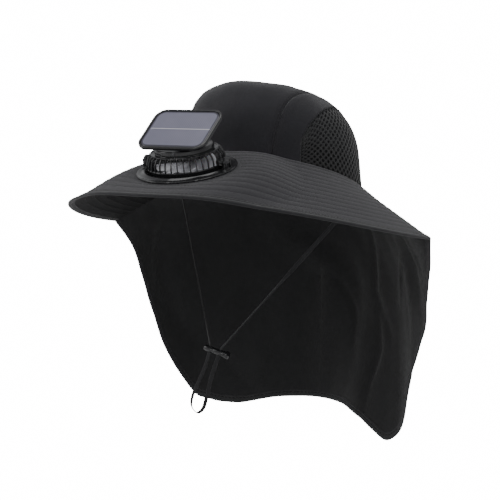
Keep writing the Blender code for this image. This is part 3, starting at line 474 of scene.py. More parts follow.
def mesh_object(name, verts, faces, look, uv=None, sharp=60):
    """An object from points and faces, smooth with sharp corners."""
    data = bpy.data.meshes.new(name)
    data.from_pydata(np.asarray(verts).tolist(), [], [list(map(int, f)) for f in faces])
    data.validate()
    if uv is not None:
        layer = data.uv_layers.new(name="UVMap")
        corners = np.zeros(len(data.loops), dtype=int)
        data.loops.foreach_get("vertex_index", corners)
        layer.data.foreach_set("uv", np.asarray(uv, dtype=float)[corners].ravel())
    data.shade_smooth()
    data.set_sharp_from_angle(angle=math.radians(sharp))
    data.materials.append(look)
    obj = bpy.data.objects.new(name, data)
    bpy.context.scene.collection.objects.link(obj)
    return obj


def grid_faces(rows, columns, closed=False, offset=0):
    """Quads of a grid of points, row by row."""
    j, i = np.meshgrid(np.arange(rows - 1), np.arange(columns if closed else columns - 1), indexing="ij")
    k = (i + 1) % columns
    quads = np.stack((j * columns + i, (j + 1) * columns + i, (j + 1) * columns + k, j * columns + k), axis=-1)
    return quads.reshape(-1, 4) + offset


def metres_uv(points):
    """UV in metres along and across a grid."""
    along = np.linalg.norm(np.diff(points, axis=1), axis=-1)
    u = np.concatenate((np.zeros((points.shape[0], 1)), np.cumsum(along, axis=1)), axis=1)
    u -= u[:, u.shape[1] // 2][:, None]
    down = np.linalg.norm(np.diff(points, axis=0), axis=-1)
    v = np.concatenate((np.zeros((1, points.shape[1])), np.cumsum(down, axis=0)), axis=0)
    return np.stack((u, v), axis=-1).reshape(-1, 2)


def grid_object(name, points, look, closed=False, sharp=60, uv=None):
    """An open sheet through a grid of points."""
    rows, columns = points.shape[:2]
    uv = metres_uv(points) if uv is None else uv
    return mesh_object(name, points.reshape(-1, 3), grid_faces(rows, columns, closed), look, uv, sharp)


def wall(obj, thickness, offset=-1.0, far_face_look=None):
    """Give a sheet its thickness, and its far face a look of its own."""
    mod = obj.modifiers.new("wall", "SOLIDIFY")
    if far_face_look:
        obj.data.materials.append(far_face_look)
        mod.material_offset = 1
    mod.thickness = thickness
    mod.offset = offset
    mod.use_even_offset = False
    return obj


def swept(name, path, profile, ups, look, closed_path=False, sharp=60):
    """Sweep a closed profile (side, up) along a path; ups are the up directions."""
    path = np.asarray(path, float)
    ups = np.asarray(ups, float)
    ahead = np.gradient(path, axis=0)
    if closed_path:
        ahead = np.roll(path, -1, axis=0) - np.roll(path, 1, axis=0)
    ahead /= np.linalg.norm(ahead, axis=-1, keepdims=True)
    side = np.cross(ahead, ups)
    side /= np.linalg.norm(side, axis=-1, keepdims=True)
    up = np.cross(side, ahead)
    profile = np.asarray(profile, float)
    if profile.ndim == 2:
        profile = np.broadcast_to(profile, (len(path), *profile.shape))
    rings = path[:, None] + side[:, None] * profile[..., :1] + up[:, None] * profile[..., 1:]
    count, around = rings.shape[:2]
    verts = rings.reshape(-1, 3)
    faces = []
    last = count if closed_path else count - 1
    for j in range(last):
        k = (j + 1) % count
        for i in range(around):
            n = (i + 1) % around
            faces.append((j * around + i, j * around + n, k * around + n, k * around + i))
    if not closed_path:
        faces.append(tuple(range(around))[::-1])
        faces.append(tuple((count - 1) * around + i for i in range(around)))
    along = np.concatenate(([0], np.cumsum(np.linalg.norm(np.diff(path, axis=0), axis=-1))))
    uv = np.stack(np.broadcast_arrays(along[:, None], np.arange(around)[None] * 0.001), axis=-1).reshape(-1, 2)
    return mesh_object(name, verts, faces, look, uv, sharp)


def resample(path, step):
    """Points and arc positions along a path, a step apart."""
    path = np.asarray(path, float)
    lengths = np.concatenate(([0], np.cumsum(np.linalg.norm(np.diff(path, axis=0), axis=-1))))
    marks = np.arange(0, lengths[-1], step)
    return np.stack([np.interp(marks, lengths, path[:, k]) for k in range(3)], axis=-1), marks


def stitches(name, runs, look, length=STITCH_LENGTH, pitch=STITCH_PITCH, radius=STITCH_RADIUS, rise=0.0):
    """Sewn thread: a small rounded bar for each stitch. A run is (path, normals)."""
    ring = [(math.cos(math.pi * 2 * k / 6), math.sin(math.pi * 2 * k / 6)) for k in range(6)]
    verts, faces = [], []
    for path, ups in runs:
        path, ups = np.asarray(path, float), np.asarray(ups, float)
        lengths = np.concatenate(([0], np.cumsum(np.linalg.norm(np.diff(path, axis=0), axis=-1))))
        starts = np.arange(pitch / 2, lengths[-1] - length, pitch)

        def at(marks, field):
            return np.stack([np.interp(marks, lengths, field[:, k]) for k in range(3)], axis=-1)

        first, last, up = at(starts, path), at(starts + length, path), at(starts + length / 2, ups)
        ahead = last - first
        ahead /= np.maximum(np.linalg.norm(ahead, axis=-1, keepdims=True), 1e-9)
        side = np.cross(ahead, up)
        side /= np.maximum(np.linalg.norm(side, axis=-1, keepdims=True), 1e-9)
        up = np.cross(side, ahead)
        base = len(verts)
        rows = []
        for share, swell, sink in ((0.0, 0.35, -0.9), (0.2, 1.0, 0.1), (0.8, 1.0, 0.1), (1.0, 0.35, -0.9)):
            centre = first + (last - first) * share + up * (sink * radius + rise)
            for c, s in ring:
                rows.append(centre + side * (c * radius * swell) + up * (s * radius * swell))
        block = np.stack(rows, axis=1).reshape(-1, 3)
        per = 4 * 6
        for n in range(len(starts)):
            b = base + n * per
            for j in range(3):
                for i in range(6):
                    k = (i + 1) % 6
                    faces.append((b + j * 6 + i, b + j * 6 + k, b + (j + 1) * 6 + k, b + (j + 1) * 6 + i))
            faces.append(tuple(b + i for i in range(6))[::-1])
            faces.append(tuple(b + 18 + i for i in range(6)))
        verts.extend(block.tolist())
    return mesh_object(name, verts, faces, look)


def finish_modifiers(obj):
    """Apply an object's modifiers to its mesh."""
    depsgraph = bpy.context.evaluated_depsgraph_get()
    data = bpy.data.meshes.new_from_object(obj.evaluated_get(depsgraph))
    obj.modifiers.clear()
    obj.data = data
    return obj


def join_boolean(obj, tools, operation="DIFFERENCE"):
    """Cut or join with tool objects, which are then removed."""
    for tool in tools:
        mod = obj.modifiers.new("cut", "BOOLEAN")
        mod.object = tool
        mod.operation = operation
    finish_modifiers(obj)
    for tool in tools:
        bpy.data.objects.remove(tool, do_unlink=True)
    return obj


# Cord


def smooth_path(points, steps):
    """Evenly spaced points on a smooth curve through chosen points."""
    points = np.asarray(points, float)
    keys = np.concatenate(([0], np.cumsum(np.linalg.norm(np.diff(points, axis=0), axis=-1))))
    fine = table(np.concatenate((keys[:, None] / keys[-1], points), axis=1), np.linspace(0, 1, 400))
    lengths = np.concatenate(([0], np.cumsum(np.linalg.norm(np.diff(fine, axis=0), axis=-1))))
    marks = np.linspace(0, lengths[-1], steps)
    return np.stack([np.interp(marks, lengths, fine[:, k]) for k in range(3)], axis=-1)


def lock_point(along, down=0.0):
    """Point near the lock, along its bar and below it."""
    bar = np.array((math.cos(LOCK_TURN), 0, -math.sin(LOCK_TURN)))
    up = np.array((math.sin(LOCK_TURN), 0, math.cos(LOCK_TURN)))
    return np.array(LOCK_CENTRE) + bar * along - up * down


def tape_piece(name, path, twists, node, **facts):
    """A flat woven tape along a path, its face turned by a table of twists in degrees."""
    shares = np.linspace(0, 1, len(path))
    angle = np.radians(table(twists, shares)[:, 0])
    ahead = np.gradient(path, axis=0)
    ahead /= np.linalg.norm(ahead, axis=-1, keepdims=True)
    flat = np.array((0.0, -1.0, 0.0)) - ahead * (ahead @ np.array((0.0, -1.0, 0.0)))[:, None]
    flat /= np.linalg.norm(flat, axis=-1, keepdims=True)
    other = np.cross(ahead, flat)
    ups = flat * np.cos(angle)[:, None] + other * np.sin(angle)[:, None]
    half, thin = CORD_WIDTH / 2, CORD_THICKNESS / 2
    profile = [(-half, 0), (-half * 0.9, -thin * 0.8), (-half * 0.45, -thin), (0, -thin * 0.72), (half * 0.45, -thin),
               (half * 0.9, -thin * 0.8), (half, 0), (half * 0.9, thin * 0.8), (half * 0.45, thin), (0, thin * 0.72),
               (-half * 0.45, thin), (-half * 0.9, thin * 0.8)]
    obj = swept(name, path, profile, ups, TAPE)
    link(obj, "hat", [node])
    return obj


def make_cords():
    """Two strands from under the brim to the lock, and the hanging loop."""
    seat = LOCK_RADIUS * 0.9
    for name, top, along, twists in (
            ("left", CORD_TOP_LEFT, 0.006, ((0, -15), (0.42, -8), (0.56, 45), (0.8, 62), (1, 50))),
            ("right", CORD_TOP_RIGHT, -0.006, ((0, 40), (0.5, 56), (0.8, 58), (1, 40)))):
        end = lock_point(along, -seat)
        path = np.linspace(np.array(top), end, 70)
        tape_piece(f"chin_tape_{name}", path, twists, f"chin_strand_{name}", lay="hanging")
    centre = np.array(LOCK_CENTRE)
    route = [lock_point(-0.006, seat)] + [centre + np.array((x, 0, z)) for x, z in LOOP_ROUTE[1:-1]]
    route.append(lock_point(0.006, seat))
    path = smooth_path(route, 90)
    tape_piece("chin_tape_loop", path, ((0, 10), (0.2, 0), (0.40, 25), (0.5, 60), (0.60, 35), (0.8, 25), (1, 25)),
               "chin_loop", lay="hanging", with_pieces=["lock_barrel", "lock_push_button"])


# Cloth


def brim_width(phi):
    """Length of the brim from the crown to its edge."""
    return np.linalg.norm(brim_edge(phi) - crown_base(phi), axis=-1)


def stitch_shares():
    """Where the rows of stitching lie, as shares of the brim's width."""
    return [(k + 0.55) / (STITCH_ROWS + 1) for k in range(STITCH_ROWS)]


def fan_reach(points):
    """Distance of points from the fan's axis, along the brim."""
    rel = points - FAN_CENTRE
    lift = rel @ FAN_UP
    return np.linalg.norm(rel - lift[..., None] * FAN_UP, axis=-1)


def make_brim():
    """Stiff quilted brim with its concentric rows of stitching and bound edge."""
    columns = 340
    phi = np.linspace(-BRIM_END, BRIM_END, columns)
    width = brim_width(phi)
    rows_at = stitch_shares()
    pitch = rows_at[1] - rows_at[0]
    marks = [0.0] + [s + d * pitch for s in rows_at for d in (-0.42, -0.2, -0.07, 0.0, 0.07, 0.2, 0.42)]
    marks += [0.97, 1.0]
    marks = np.array(sorted(set(m for m in marks if m >= 0)))
    last = 1 - (BINDING_WIDTH - 0.003) / width
    share = marks[:, None] * last[None, :]
    grid_phi = np.broadcast_to(phi, share.shape)
    points = brim_point(grid_phi, share)
    normal = normals_of(points)
    if normal[..., 2].mean() < 0:
        normal = -normal
    gap = np.abs(marks[:, None] - np.array(rows_at)[None, :]).min(axis=1) / pitch
    rise = 0.00042 * np.sin(np.pi * np.clip(gap, 0, 0.5)) ** 0.7 - 0.00016
    calm = 1 - fade(FLANGE_RADIUS + 0.002, 0.010, fan_reach(points))
    points = points + normal * (rise[:, None] * calm - SEAM_GAP * 0.5)[..., None]
    faces = grid_faces(*points.shape[:2])
    reach = fan_reach(points).reshape(-1)
    keep = (reach[faces] > FLANGE_INNER + NECK_WALL + SEAM_GAP).all(axis=1)
    brim = mesh_object("brim_cloth", points.reshape(-1, 3), faces[keep], CLOTH, metres_uv(points))
    # The far face gets a darker copy of the brim cloth: painted shade under the brim.
    wall(brim, BRIM_WALL - 0.0003, far_face_look=BRIM_UNDERSIDE_SHADE)
    finish_modifiers(brim)
    link(brim, "hat", ["brim"])

    runs = []
    for s in rows_at:
        k = int(np.argmin(np.abs(marks - s)))
        clear = fan_reach(points[k]) > FLANGE_RADIUS + 0.0008
        for start, stop in spans(clear):
            runs.append((points[k, start:stop], normal[k, start:stop]))
    below = [(p - n * (BRIM_WALL - 0.0003), -n) for p, n in runs]
    sewn = stitches("brim_stitches", runs + below, THREAD)
    link(sewn, "hat")

    # Bound edge: a tape folded over, a little proud of the cloth
    edge_phi = np.linspace(-BRIM_END, BRIM_END, 260)
    widths = brim_width(edge_phi)
    inward = [(7.5, 0.10), (7.3, 0.45), (6.6, 0.62), (5.2, 0.66), (4.9, 0.46), (4.6, 0.64), (2.6, 0.74), (1.2, 0.62),
              (0.4, 0.22), (0.0, -0.70), (0.3, -1.75), (1.2, -2.15), (2.6, -2.30), (4.6, -2.22), (4.9, -2.04),
              (5.2, -2.20), (6.6, -2.12), (7.3, -1.95), (7.5, -1.60)]
    ring = []
    for away, height in inward:
        at = 1 - away * 0.001 / widths
        base = brim_point(edge_phi, at)
        ring.append(base + edge_normals(edge_phi)[:, :] * (height * 0.001))
    ring = np.stack(ring, axis=1)
    faces = []
    count, around = ring.shape[:2]
    for j in range(count - 1):
        for i in range(around):
            n = (i + 1) % around
            faces.append((j * around + i, (j + 1) * around + i, (j + 1) * around + n, j * around + n))
    faces.append(tuple(range(around)))
    faces.append(tuple((count - 1) * around + i for i in range(around))[::-1])
    along = np.concatenate(([0], np.cumsum(np.linalg.norm(np.diff(ring[:, 9], axis=0), axis=-1))))
    across = np.array([a for a, _ in inward]) * 0.001
    uv = np.stack(np.broadcast_arrays(along[:, None], across[None]), axis=-1).reshape(-1, 2)
    tape = mesh_object("brim_tape", ring.reshape(-1, 3), faces, TRIM, uv)
    link(tape, "hat", ["brim_binding"])
    normal_edge = edge_normals(edge_phi)
    runs = []
    for away, height in ((4.9, 0.52), (8.6, 0.05)):
        line = brim_point(edge_phi, 1 - away * 0.001 / widths) + normal_edge * height * 0.001
        runs.append((line, normal_edge))
    line = brim_point(edge_phi, 1 - 4.9 * 0.001 / widths) - normal_edge * 0.00210
    runs.append((line, -normal_edge))
    link(stitches("brim_tape_stitches", runs, SEAM_THREAD), "hat")


def spans(mask):
    """Start and stop of each run of true values."""
    found, start = [], None
    for k, good in enumerate(mask):
        if good and start is None:
            start = k
        if not good and start is not None:
            if k - start > 3:
                found.append((start, k))
            start = None
    if start is not None and len(mask) - start > 3:
        found.append((start, len(mask)))
    return found


def edge_normals(phi):
    """Upward normals of the brim at its edge."""
    step = 0.01
    out = brim_point(phi, np.full(phi.shape, 1.0)) - brim_point(phi, np.full(phi.shape, 0.95))
    along = brim_edge(phi + step) - brim_edge(phi - step)
    normal = np.cross(along, out)
    normal /= np.linalg.norm(normal, axis=-1, keepdims=True)
    return normal * np.sign(normal[:, 2:3])


def seam_reach(height):
    """How far across the crown's seam lies at a share of its height."""
    return CENTRE_HALF_WIDTH + SEAM_LEAN * CROWN_HEIGHT * height


def slice_curve(share, steps):
    """Level crown's section at a share of the way to the seam, from the front foot over the top to the back."""
    turn = np.linspace(0, np.pi / 2, 900)
    ring = np.cos(turn) ** (2 / CROWN_FULLNESS)
    height = np.sin(turn) ** (2 / CROWN_FULLNESS)
    short = np.abs(share) * seam_reach(height) - CROWN_HALF_WIDTH * ring
    last = np.interp(0, short, turn)
    turn = np.append(turn[turn < last], last)
    ring = np.cos(turn) ** (2 / CROWN_FULLNESS)
    height = np.sin(turn) ** (2 / CROWN_FULLNESS)
    x = share * seam_reach(height)
    deep = CROWN_HALF_LENGTH * np.sqrt(np.maximum(ring**2 - (x / CROWN_HALF_WIDTH) ** 2, 0))
    front = stack(x, -deep + CROWN_LEAN * height, CROWN_HEIGHT * height)
    back = stack(x, deep + CROWN_LEAN * height, CROWN_HEIGHT * height)[::-1]
    foot = np.array((0, 0, -CROWN_FOOT))
    curve = np.concatenate(([front[0] + foot], front, back[1:], [back[-1] + foot]))
    lengths = np.concatenate(([0], np.cumsum(np.linalg.norm(np.diff(curve, axis=0), axis=-1))))
    marks = np.linspace(0, lengths[-1], steps)
    return np.stack([np.interp(marks, lengths, curve[:, k]) for k in range(3)], axis=-1)


def outward(points):
    """Unit normals of a crown grid, pointing away from the head."""
    normal = normals_of(points)
    away = points - np.array((0.0, -0.01, 0.0))
    return normal * np.where((normal * away).sum(axis=-1, keepdims=True) < 0, -1.0, 1.0)


def seam_relief(away):
    """Dip at a seam and the soft ridge beside it, by distance from the seam."""
    return -0.0014 * np.exp(-(away / 0.0007) ** 2) + 0.00040 * np.exp(-((away - 0.0042) / 0.0022) ** 2)


def make_crown():
    """Centre panel over the top, and a side panel either side with a window for its net."""
    ways = np.linspace(-1, 1, 64)
    ways = np.sign(ways) * (1 - (1 - np.abs(ways)) ** 1.35)
    tuck = 1.035
    shares = np.concatenate(([-tuck], ways, [tuck]))
    points = worn(np.stack([slice_curve(share, 150) for share in shares], axis=1))
    normal = outward(points)
    away = np.maximum(1 - np.abs(shares), 0)[None, :] * CENTRE_HALF_WIDTH
    soft = ripple(points[..., 0], points[..., 1] + points[..., 2], 11, 0.085) * 0.0010
    soft = soft + ripple(points[..., 0], points[..., 1] - points[..., 2], 12, 0.03) * 0.00022
    sunk = np.where(np.abs(shares) > 1, -0.0006, 0)[None, :]
    points = points + normal * (soft * np.clip(away / 0.015, 0, 1) + seam_relief(away) + sunk)[..., None]
    centre = grid_object("crown_centre_cloth", points, CLOTH)
    turn_out(centre)
    wall(centre, CROWN_WALL - 0.0002)
    finish_modifiers(centre)
    link(centre, "hat", ["crown_centre"])

    runs = []
    for side in (-1, 1):
        column = int(np.argmin(np.abs(shares - side * (1 - 0.0022 / CENTRE_HALF_WIDTH))))
        runs.append((points[8:-8, column], normal[8:-8, column]))

    heights = np.sin(np.linspace(0, np.pi / 2, 1200)) ** (2 / CROWN_FULLNESS)
    rings = (1 - heights**CROWN_FULLNESS).clip(1e-9) ** (1 / CROWN_FULLNESS)
    steep = (seam_reach(heights) + SEAM_GAP / 2) / (CROWN_HALF_WIDTH * rings)
    for name, side in (("left", 1.0), ("right", -1.0)):
        low_turn = math.asin(steep[0])
        phi = np.concatenate((np.linspace(low_turn, NET_FRONT, 24)[:-1], np.linspace(NET_FRONT, NET_REAR, 90),
                              np.linspace(NET_REAR, math.pi - low_turn, 18)[1:]))
        top = np.interp(np.sin(phi), steep, heights)
        way = np.clip((phi - NET_FRONT) / (NET_REAR - NET_FRONT), 0, 1)
        window = table(NET_TOP_EDGE, way)[:, 0]
        ends_front = np.clip((phi - low_turn) / (NET_FRONT - low_turn), 0, 1)
        ends_rear = np.clip((math.pi - low_turn - phi) / (math.pi - low_turn - NET_REAR), 0, 1)
        mid = np.minimum(window * ends_front * ends_rear, top * 0.92)
        low_rows, high_rows = 10, 44
        shares = np.concatenate((mid[None, :] * np.linspace(0, 1, low_rows)[:, None],
                                 mid[None, :] + (top - mid)[None, :] * (np.linspace(0, 1, high_rows)[1:, None])))
        level = dome(np.broadcast_to(phi, shares.shape), shares)
        across = np.abs(level[..., 0]) - seam_reach(shares)
        across = np.concatenate((across[:1], across))
        foot = level[0] + np.array((0, 0, -CROWN_FOOT))
        level = np.concatenate((foot[None], level))
        points = worn(level * np.array((side, 1, 1)))
        normal = outward(points)
        soft = ripple(points[..., 1], points[..., 2], 23 + int(side), 0.06) * 0.0008 * np.clip(across / 0.012, 0, 1)
        points = points + normal * (soft + seam_relief(across))[..., None]
        faces = grid_faces(*points.shape[:2])
        columns = points.shape[1]
        row, column = faces[:, 0] // columns, faces[:, 0] % columns
        inside = (phi[column] >= NET_FRONT - 1e-6) & (phi[np.minimum(column + 1, columns - 1)] <= NET_REAR + 1e-6)
        keep = ~(inside & (row < low_rows))
        panel = mesh_object(f"crown_side_cloth_{name}", points.reshape(-1, 3), faces[keep], CLOTH, metres_uv(points))
        turn_out(panel)
        wall(panel, CROWN_WALL - 0.0002)
        finish_modifiers(panel)
        link(panel, "hat", [f"crown_side_{name}"])
        inner = (phi >= NET_FRONT) & (phi <= NET_REAR)
        runs.append((points[low_rows + 2, inner], normal[low_rows + 2, inner]))
        make_net(name, side)
    link(stitches("crown_stitches", runs, SEAM_THREAD, length=0.0020, pitch=0.0034, radius=0.00030), "hat")


def turn_out(obj):
    """Make a cloth sheet's faces point away from the head."""
    bm = bmesh.new()
    bm.from_mesh(obj.data)
    loose = [v for v in bm.verts if not v.link_faces]
    bmesh.ops.delete(bm, geom=loose, context="VERTS")
    bmesh.ops.remove_doubles(bm, verts=bm.verts, dist=1e-6)
    bm.normal_update()
    away = sum((f.calc_center_median() - Vector((0, -0.01, 0))).dot(f.normal) * f.calc_area() for f in bm.faces)
    if away < 0:
        bmesh.ops.reverse_faces(bm, faces=bm.faces)
    bm.to_mesh(obj.data)
    bm.free()


def make_net(name, side):
    """Fine diamond net in a side window, each cell open."""
    columns, rows = 42, 19
    across = np.linspace(-0.012, 1.012, columns + 1)
    up = np.linspace(-0.03, 1.012, rows + 1)
    grid_across = np.broadcast_to(across, (rows + 1, columns + 1))
    phi = NET_FRONT + grid_across * (NET_REAR - NET_FRONT)
    top = table(NET_TOP_EDGE, np.clip(grid_across, 0, 1))[..., 0]
    height = top * up[:, None]
    points = dome(phi, np.clip(height, 0, 1), 0.0006)
    points = points + stack(0.0, 0.0, np.minimum(height, 0) * CROWN_HEIGHT)
    flare = 0.0030 * np.clip(1 - height / 0.4, 0, 1) ** 2 * np.clip((grid_across - 0.45) / 0.3, 0, 1)
    points = points + stack(np.sin(phi), -np.cos(phi), 0.0) * flare[..., None]
    points = worn(points * np.array((side, 1, 1)))
    bm = bmesh.new()
    verts = {(i, j): bm.verts.new(points[j, i]) for i in range(columns + 1) for j in range(rows + 1) if (i + j) % 2 == 0}
    cells = []
    for i in range(1, columns):
        for j in range(1, rows):
            if (i + j) % 2:
                cells.append(bm.faces.new([verts[key] for key in ((i - 1, j), (i, j - 1), (i + 1, j), (i, j + 1))]))
    bmesh.ops.recalc_face_normals(bm, faces=bm.faces)
    bmesh.ops.inset_individual(bm, faces=cells, thickness=0.00048, use_even_offset=True)
    bmesh.ops.delete(bm, geom=cells, context="FACES_ONLY")
    data = bpy.data.meshes.new(f"net_knit_{name}")
    bm.to_mesh(data)
    bm.free()
    obj = bpy.data.objects.new(f"net_knit_{name}", data)
    bpy.context.scene.collection.objects.link(obj)
    data.materials.append(NET)
    turn_out(obj)
    wall(obj, 0.0009)
    round_off = obj.modifiers.new("round", "SUBSURF")
    round_off.levels = 1
    round_off.render_levels = 1
    finish_modifiers(obj)
    obj.data.shade_smooth()
    link(obj, "hat", [f"net_{name}"])


def make_sweatband():
    """Band inside the crown's foot."""
    phi = np.linspace(0, 2 * math.pi, 160, endpoint=False)
    rows = []
    for drop, inset in ((-0.0030, 0.0019), (-0.001, 0.0020), (0.004, 0.0022), (0.010, 0.0024), (0.016, 0.0022),
                        (0.0205, 0.0020), (0.022, 0.0023)):
        height = max(drop, 0) / CROWN_HEIGHT
        level = dome(phi, np.full(phi.shape, height), inset)
        level[:, 2] = drop
        rows.append(worn(level))
    band = grid_object("sweatband_cloth", np.stack(rows), BAND, closed=True)
    turn_out(band)
    wall(band, 0.0010)
    finish_modifiers(band)
    link(band, "hat", ["sweatband"])


# Creases of the flap: rows of (turn, share) along each, then depth and width in metres
CREASES = (
    (((0.80, 0.30), (0.78, 0.42), (0.73, 0.60)), -0.0030, 0.007),
    (((0.80, 0.36), (0.76, 0.50), (0.72, 0.66)), 0.0024, 0.008),
    (((0.88, 0.40), (0.82, 0.60), (0.76, 0.85)), -0.0022, 0.006),
    (((0.70, 0.50), (0.68, 0.70), (0.66, 0.95)), 0.0024, 0.009),
    (((0.60, 0.45), (0.57, 0.70), (0.56, 0.98)), -0.0026, 0.010),
    (((-0.23, 0.22), (-0.07, 0.32), (0.04, 0.41), (0.033, 0.56), (0.025, 0.71), (0.017, 0.92)), -0.0080, 0.016),
    (((-0.02, 0.20), (0.12, 0.34), (0.15, 0.50), (0.14, 0.70), (0.12, 0.95)), 0.0040, 0.014),
    (((0.042, 0.42), (0.083, 0.48), (0.125, 0.61), (0.13, 0.75)), 0.0022, 0.005),
    (((0.342, 0.20), (0.30, 0.37), (0.267, 0.50), (0.333, 0.67)), 0.0030, 0.006),
    (((0.275, 0.58), (0.275, 0.74), (0.233, 0.88), (0.23, 0.98)), 0.0034, 0.006),
    (((0.43, 0.60), (0.50, 0.52), (0.56, 0.49)), -0.0024, 0.005),
    (((-0.80, 0.66), (-0.70, 0.80), (-0.56, 0.85), (-0.45, 0.86)), 0.0050, 0.012),
    (((-0.32, 0.84), (-0.24, 0.92), (-0.18, 0.98)), 0.0026, 0.008),
    (((-0.45, 0.30), (-0.36, 0.55), (-0.30, 0.80)), -0.0040, 0.028),
    (((-0.16, 0.50), (-0.14, 0.72), (-0.16, 0.97)), -0.0026, 0.016),
)


def flap_surface(turns, shares):
    """Flap points and outward normals with their creases and soft swell."""
    grid_turn, grid_share = np.meshgrid(turns, shares)
    points = flap_point(grid_turn, grid_share)
    normal = outward(points)
    soft = ripple(grid_turn * 0.5, grid_share * 0.25, 41, 0.16) * 0.0016 * np.sin(np.pi * np.clip(grid_share * 0.8, 0, 1))
    total = soft + ripple(grid_turn * 0.37, grid_share * 0.27, 43, 0.06) * 0.00030 * np.clip(grid_share / 0.1, 0, 1)
    for rows, depth, width in CREASES:
        track = np.array(rows)
        line = flap_point(np.interp(np.linspace(0, 1, 30), np.linspace(0, 1, len(track)), track[:, 0]),
                          np.interp(np.linspace(0, 1, 30), np.linspace(0, 1, len(track)), track[:, 1]))
        near = np.full(points.shape[:2], 9.0)
        place = np.zeros(points.shape[:2])
        for k, p in enumerate(line):
            d = np.linalg.norm(points - p, axis=-1)
            closer = d < near
            near = np.where(closer, d, near)
            place = np.where(closer, k / 29, place)
        total = total + depth * np.exp(-(near / width) ** 2) * (0.35 + 0.65 * np.sin(np.pi * np.clip(place, 0.02, 0.98)))
    return points, normal, total


def make_flap():
    """Hanging neck cloth with its creases, bound hem and stitching."""
    turns = np.linspace(-1, 1, 300)
    shares = np.linspace(0, 1, 96)
    points, normal, total = flap_surface(turns, shares)
    lengths = np.linalg.norm(np.diff(points, axis=0), axis=-1).sum(axis=0)
    last = 1 - 0.003 / lengths
    shares_grid = shares[:, None] * last[None, :]
    base = flap_point(np.broadcast_to(turns, shares_grid.shape), shares_grid)
    sheet = base + normal * (total - 0.0003)[..., None]
    obj = grid_object("flap_cloth", sheet, FLAP)
    turn_out(obj)
    wall(obj, FLAP_WALL - 0.0002)
    finish_modifiers(obj)
    link(obj, "hat", ["neck_flap"])

    # Bound hem, folded over the edge
    across = [(6.2, 0.05), (6.0, 0.35), (5.2, 0.48), (4.4, 0.50), (4.1, 0.34), (3.8, 0.50), (1.6, 0.58), (0.5, 0.35),
              (0.0, -0.55), (0.5, -1.45), (1.6, -1.80), (3.8, -1.84), (4.1, -1.52), (4.4, -1.84), (5.2, -1.84),
              (6.0, -1.66), (6.2, -1.10)]
    ring = []
    for away, height in across:
        at = 1 - away * 0.001 / lengths
        line = flap_point(turns, at)
        line = line + normal[-1] * (total[-1] + height * 0.001)[:, None]
        ring.append(line)
    ring = np.stack(ring, axis=1)
    count, around = ring.shape[:2]
    faces = []
    for j in range(count - 1):
        for i in range(around):
            n = (i + 1) % around
            faces.append((j * around + i, (j + 1) * around + i, (j + 1) * around + n, j * around + n))
    faces.append(tuple(range(around)))
    faces.append(tuple((count - 1) * around + i for i in range(around))[::-1])
    along = np.concatenate(([0], np.cumsum(np.linalg.norm(np.diff(ring[:, 8], axis=0), axis=-1))))
    uv = np.stack(np.broadcast_arrays(along[:, None], np.array([a for a, _ in across])[None] * 0.001), axis=-1)
    hem = mesh_object("flap_tape", ring.reshape(-1, 3), faces, HEM, uv.reshape(-1, 2))
    recalc(hem)
    link(hem, "hat", ["flap_binding"])
    runs = []
    for away, height, sign in ((4.1, 0.38, 1.0), (4.1, -1.56, -1.0)):
        line = flap_point(turns, 1 - away * 0.001 / lengths) + normal[-1] * (total[-1] + height * 0.001)[:, None]
        runs.append((line, normal[-1] * sign))
    link(stitches("flap_stitches", runs, SEAM_THREAD, length=0.0030, pitch=0.0041, radius=0.00042), "hat")


def recalc(obj):
    """Faces outward on a closed mesh."""
    bm = bmesh.new()
    bm.from_mesh(obj.data)
    bmesh.ops.recalc_face_normals(bm, faces=bm.faces)
    bm.to_mesh(obj.data)
    bm.free()
    return obj


# Hard pieces


def placed(obj, matrix):
    """Move an object's mesh into the hat's frame."""
    obj.data.transform(matrix)
    return obj


def lathe(name, profile, look, steps=96, axis="Z"):
    """Turn a closed profile (radius, height) about an axis."""
    turn = np.linspace(0, 2 * math.pi, steps, endpoint=False)
    rings = np.array([[(r * math.sin(t), -r * math.cos(t), z) for t in turn] for r, z in profile])
    if axis == "X":
        rings = rings[..., [2, 0, 1]]
    count = len(profile)
    faces = []
    for j in range(count):
        k = (j + 1) % count
        for i in range(steps):
            n = (i + 1) % steps
            faces.append((j * steps + i, j * steps + n, k * steps + n, k * steps + i))
    return recalc(mesh_object(name, rings.reshape(-1, 3), faces, look, sharp=38))


def plug(name, profile, look, steps=48, axis="Z", start=0.0):
    """A solid of revolution from its axis out: profile runs from the top centre to the bottom centre."""
    inner = [(r, z) for r, z in profile if r > 1e-6]
    turn = np.linspace(0, 2 * math.pi, steps, endpoint=False) + start
    verts = [(r * math.sin(t), -r * math.cos(t), z) for r, z in inner for t in turn]
    faces = []
    for j in range(len(inner) - 1):
        for i in range(steps):
            n = (i + 1) % steps
            faces.append((j * steps + i, j * steps + n, (j + 1) * steps + n, (j + 1) * steps + i))
    faces.append(tuple(range(steps))[::-1])
    faces.append(tuple((len(inner) - 1) * steps + i for i in range(steps)))
    verts = np.array(verts)
    if axis == "X":
        verts = verts[:, [2, 0, 1]]
    return recalc(mesh_object(name, verts, faces, look, sharp=38))


def prism(name, outline, low, high, look, axis="Z"):
    """Extrude an outline between two heights along an axis."""
    count = len(outline)
    verts = [(x, y, low) for x, y in outline] + [(x, y, high) for x, y in outline]
    faces = [tuple(range(count))[::-1], tuple(count + i for i in range(count))]
    for i in range(count):
        n = (i + 1) % count
        faces.append((i, n, count + n, count + i))
    verts = np.array(verts)
    if axis == "X":
        verts = verts[:, [2, 0, 1]]
    if axis == "Y":
        verts = verts[:, [0, 2, 1]]
    return recalc(mesh_object(name, verts, faces, look, sharp=38))


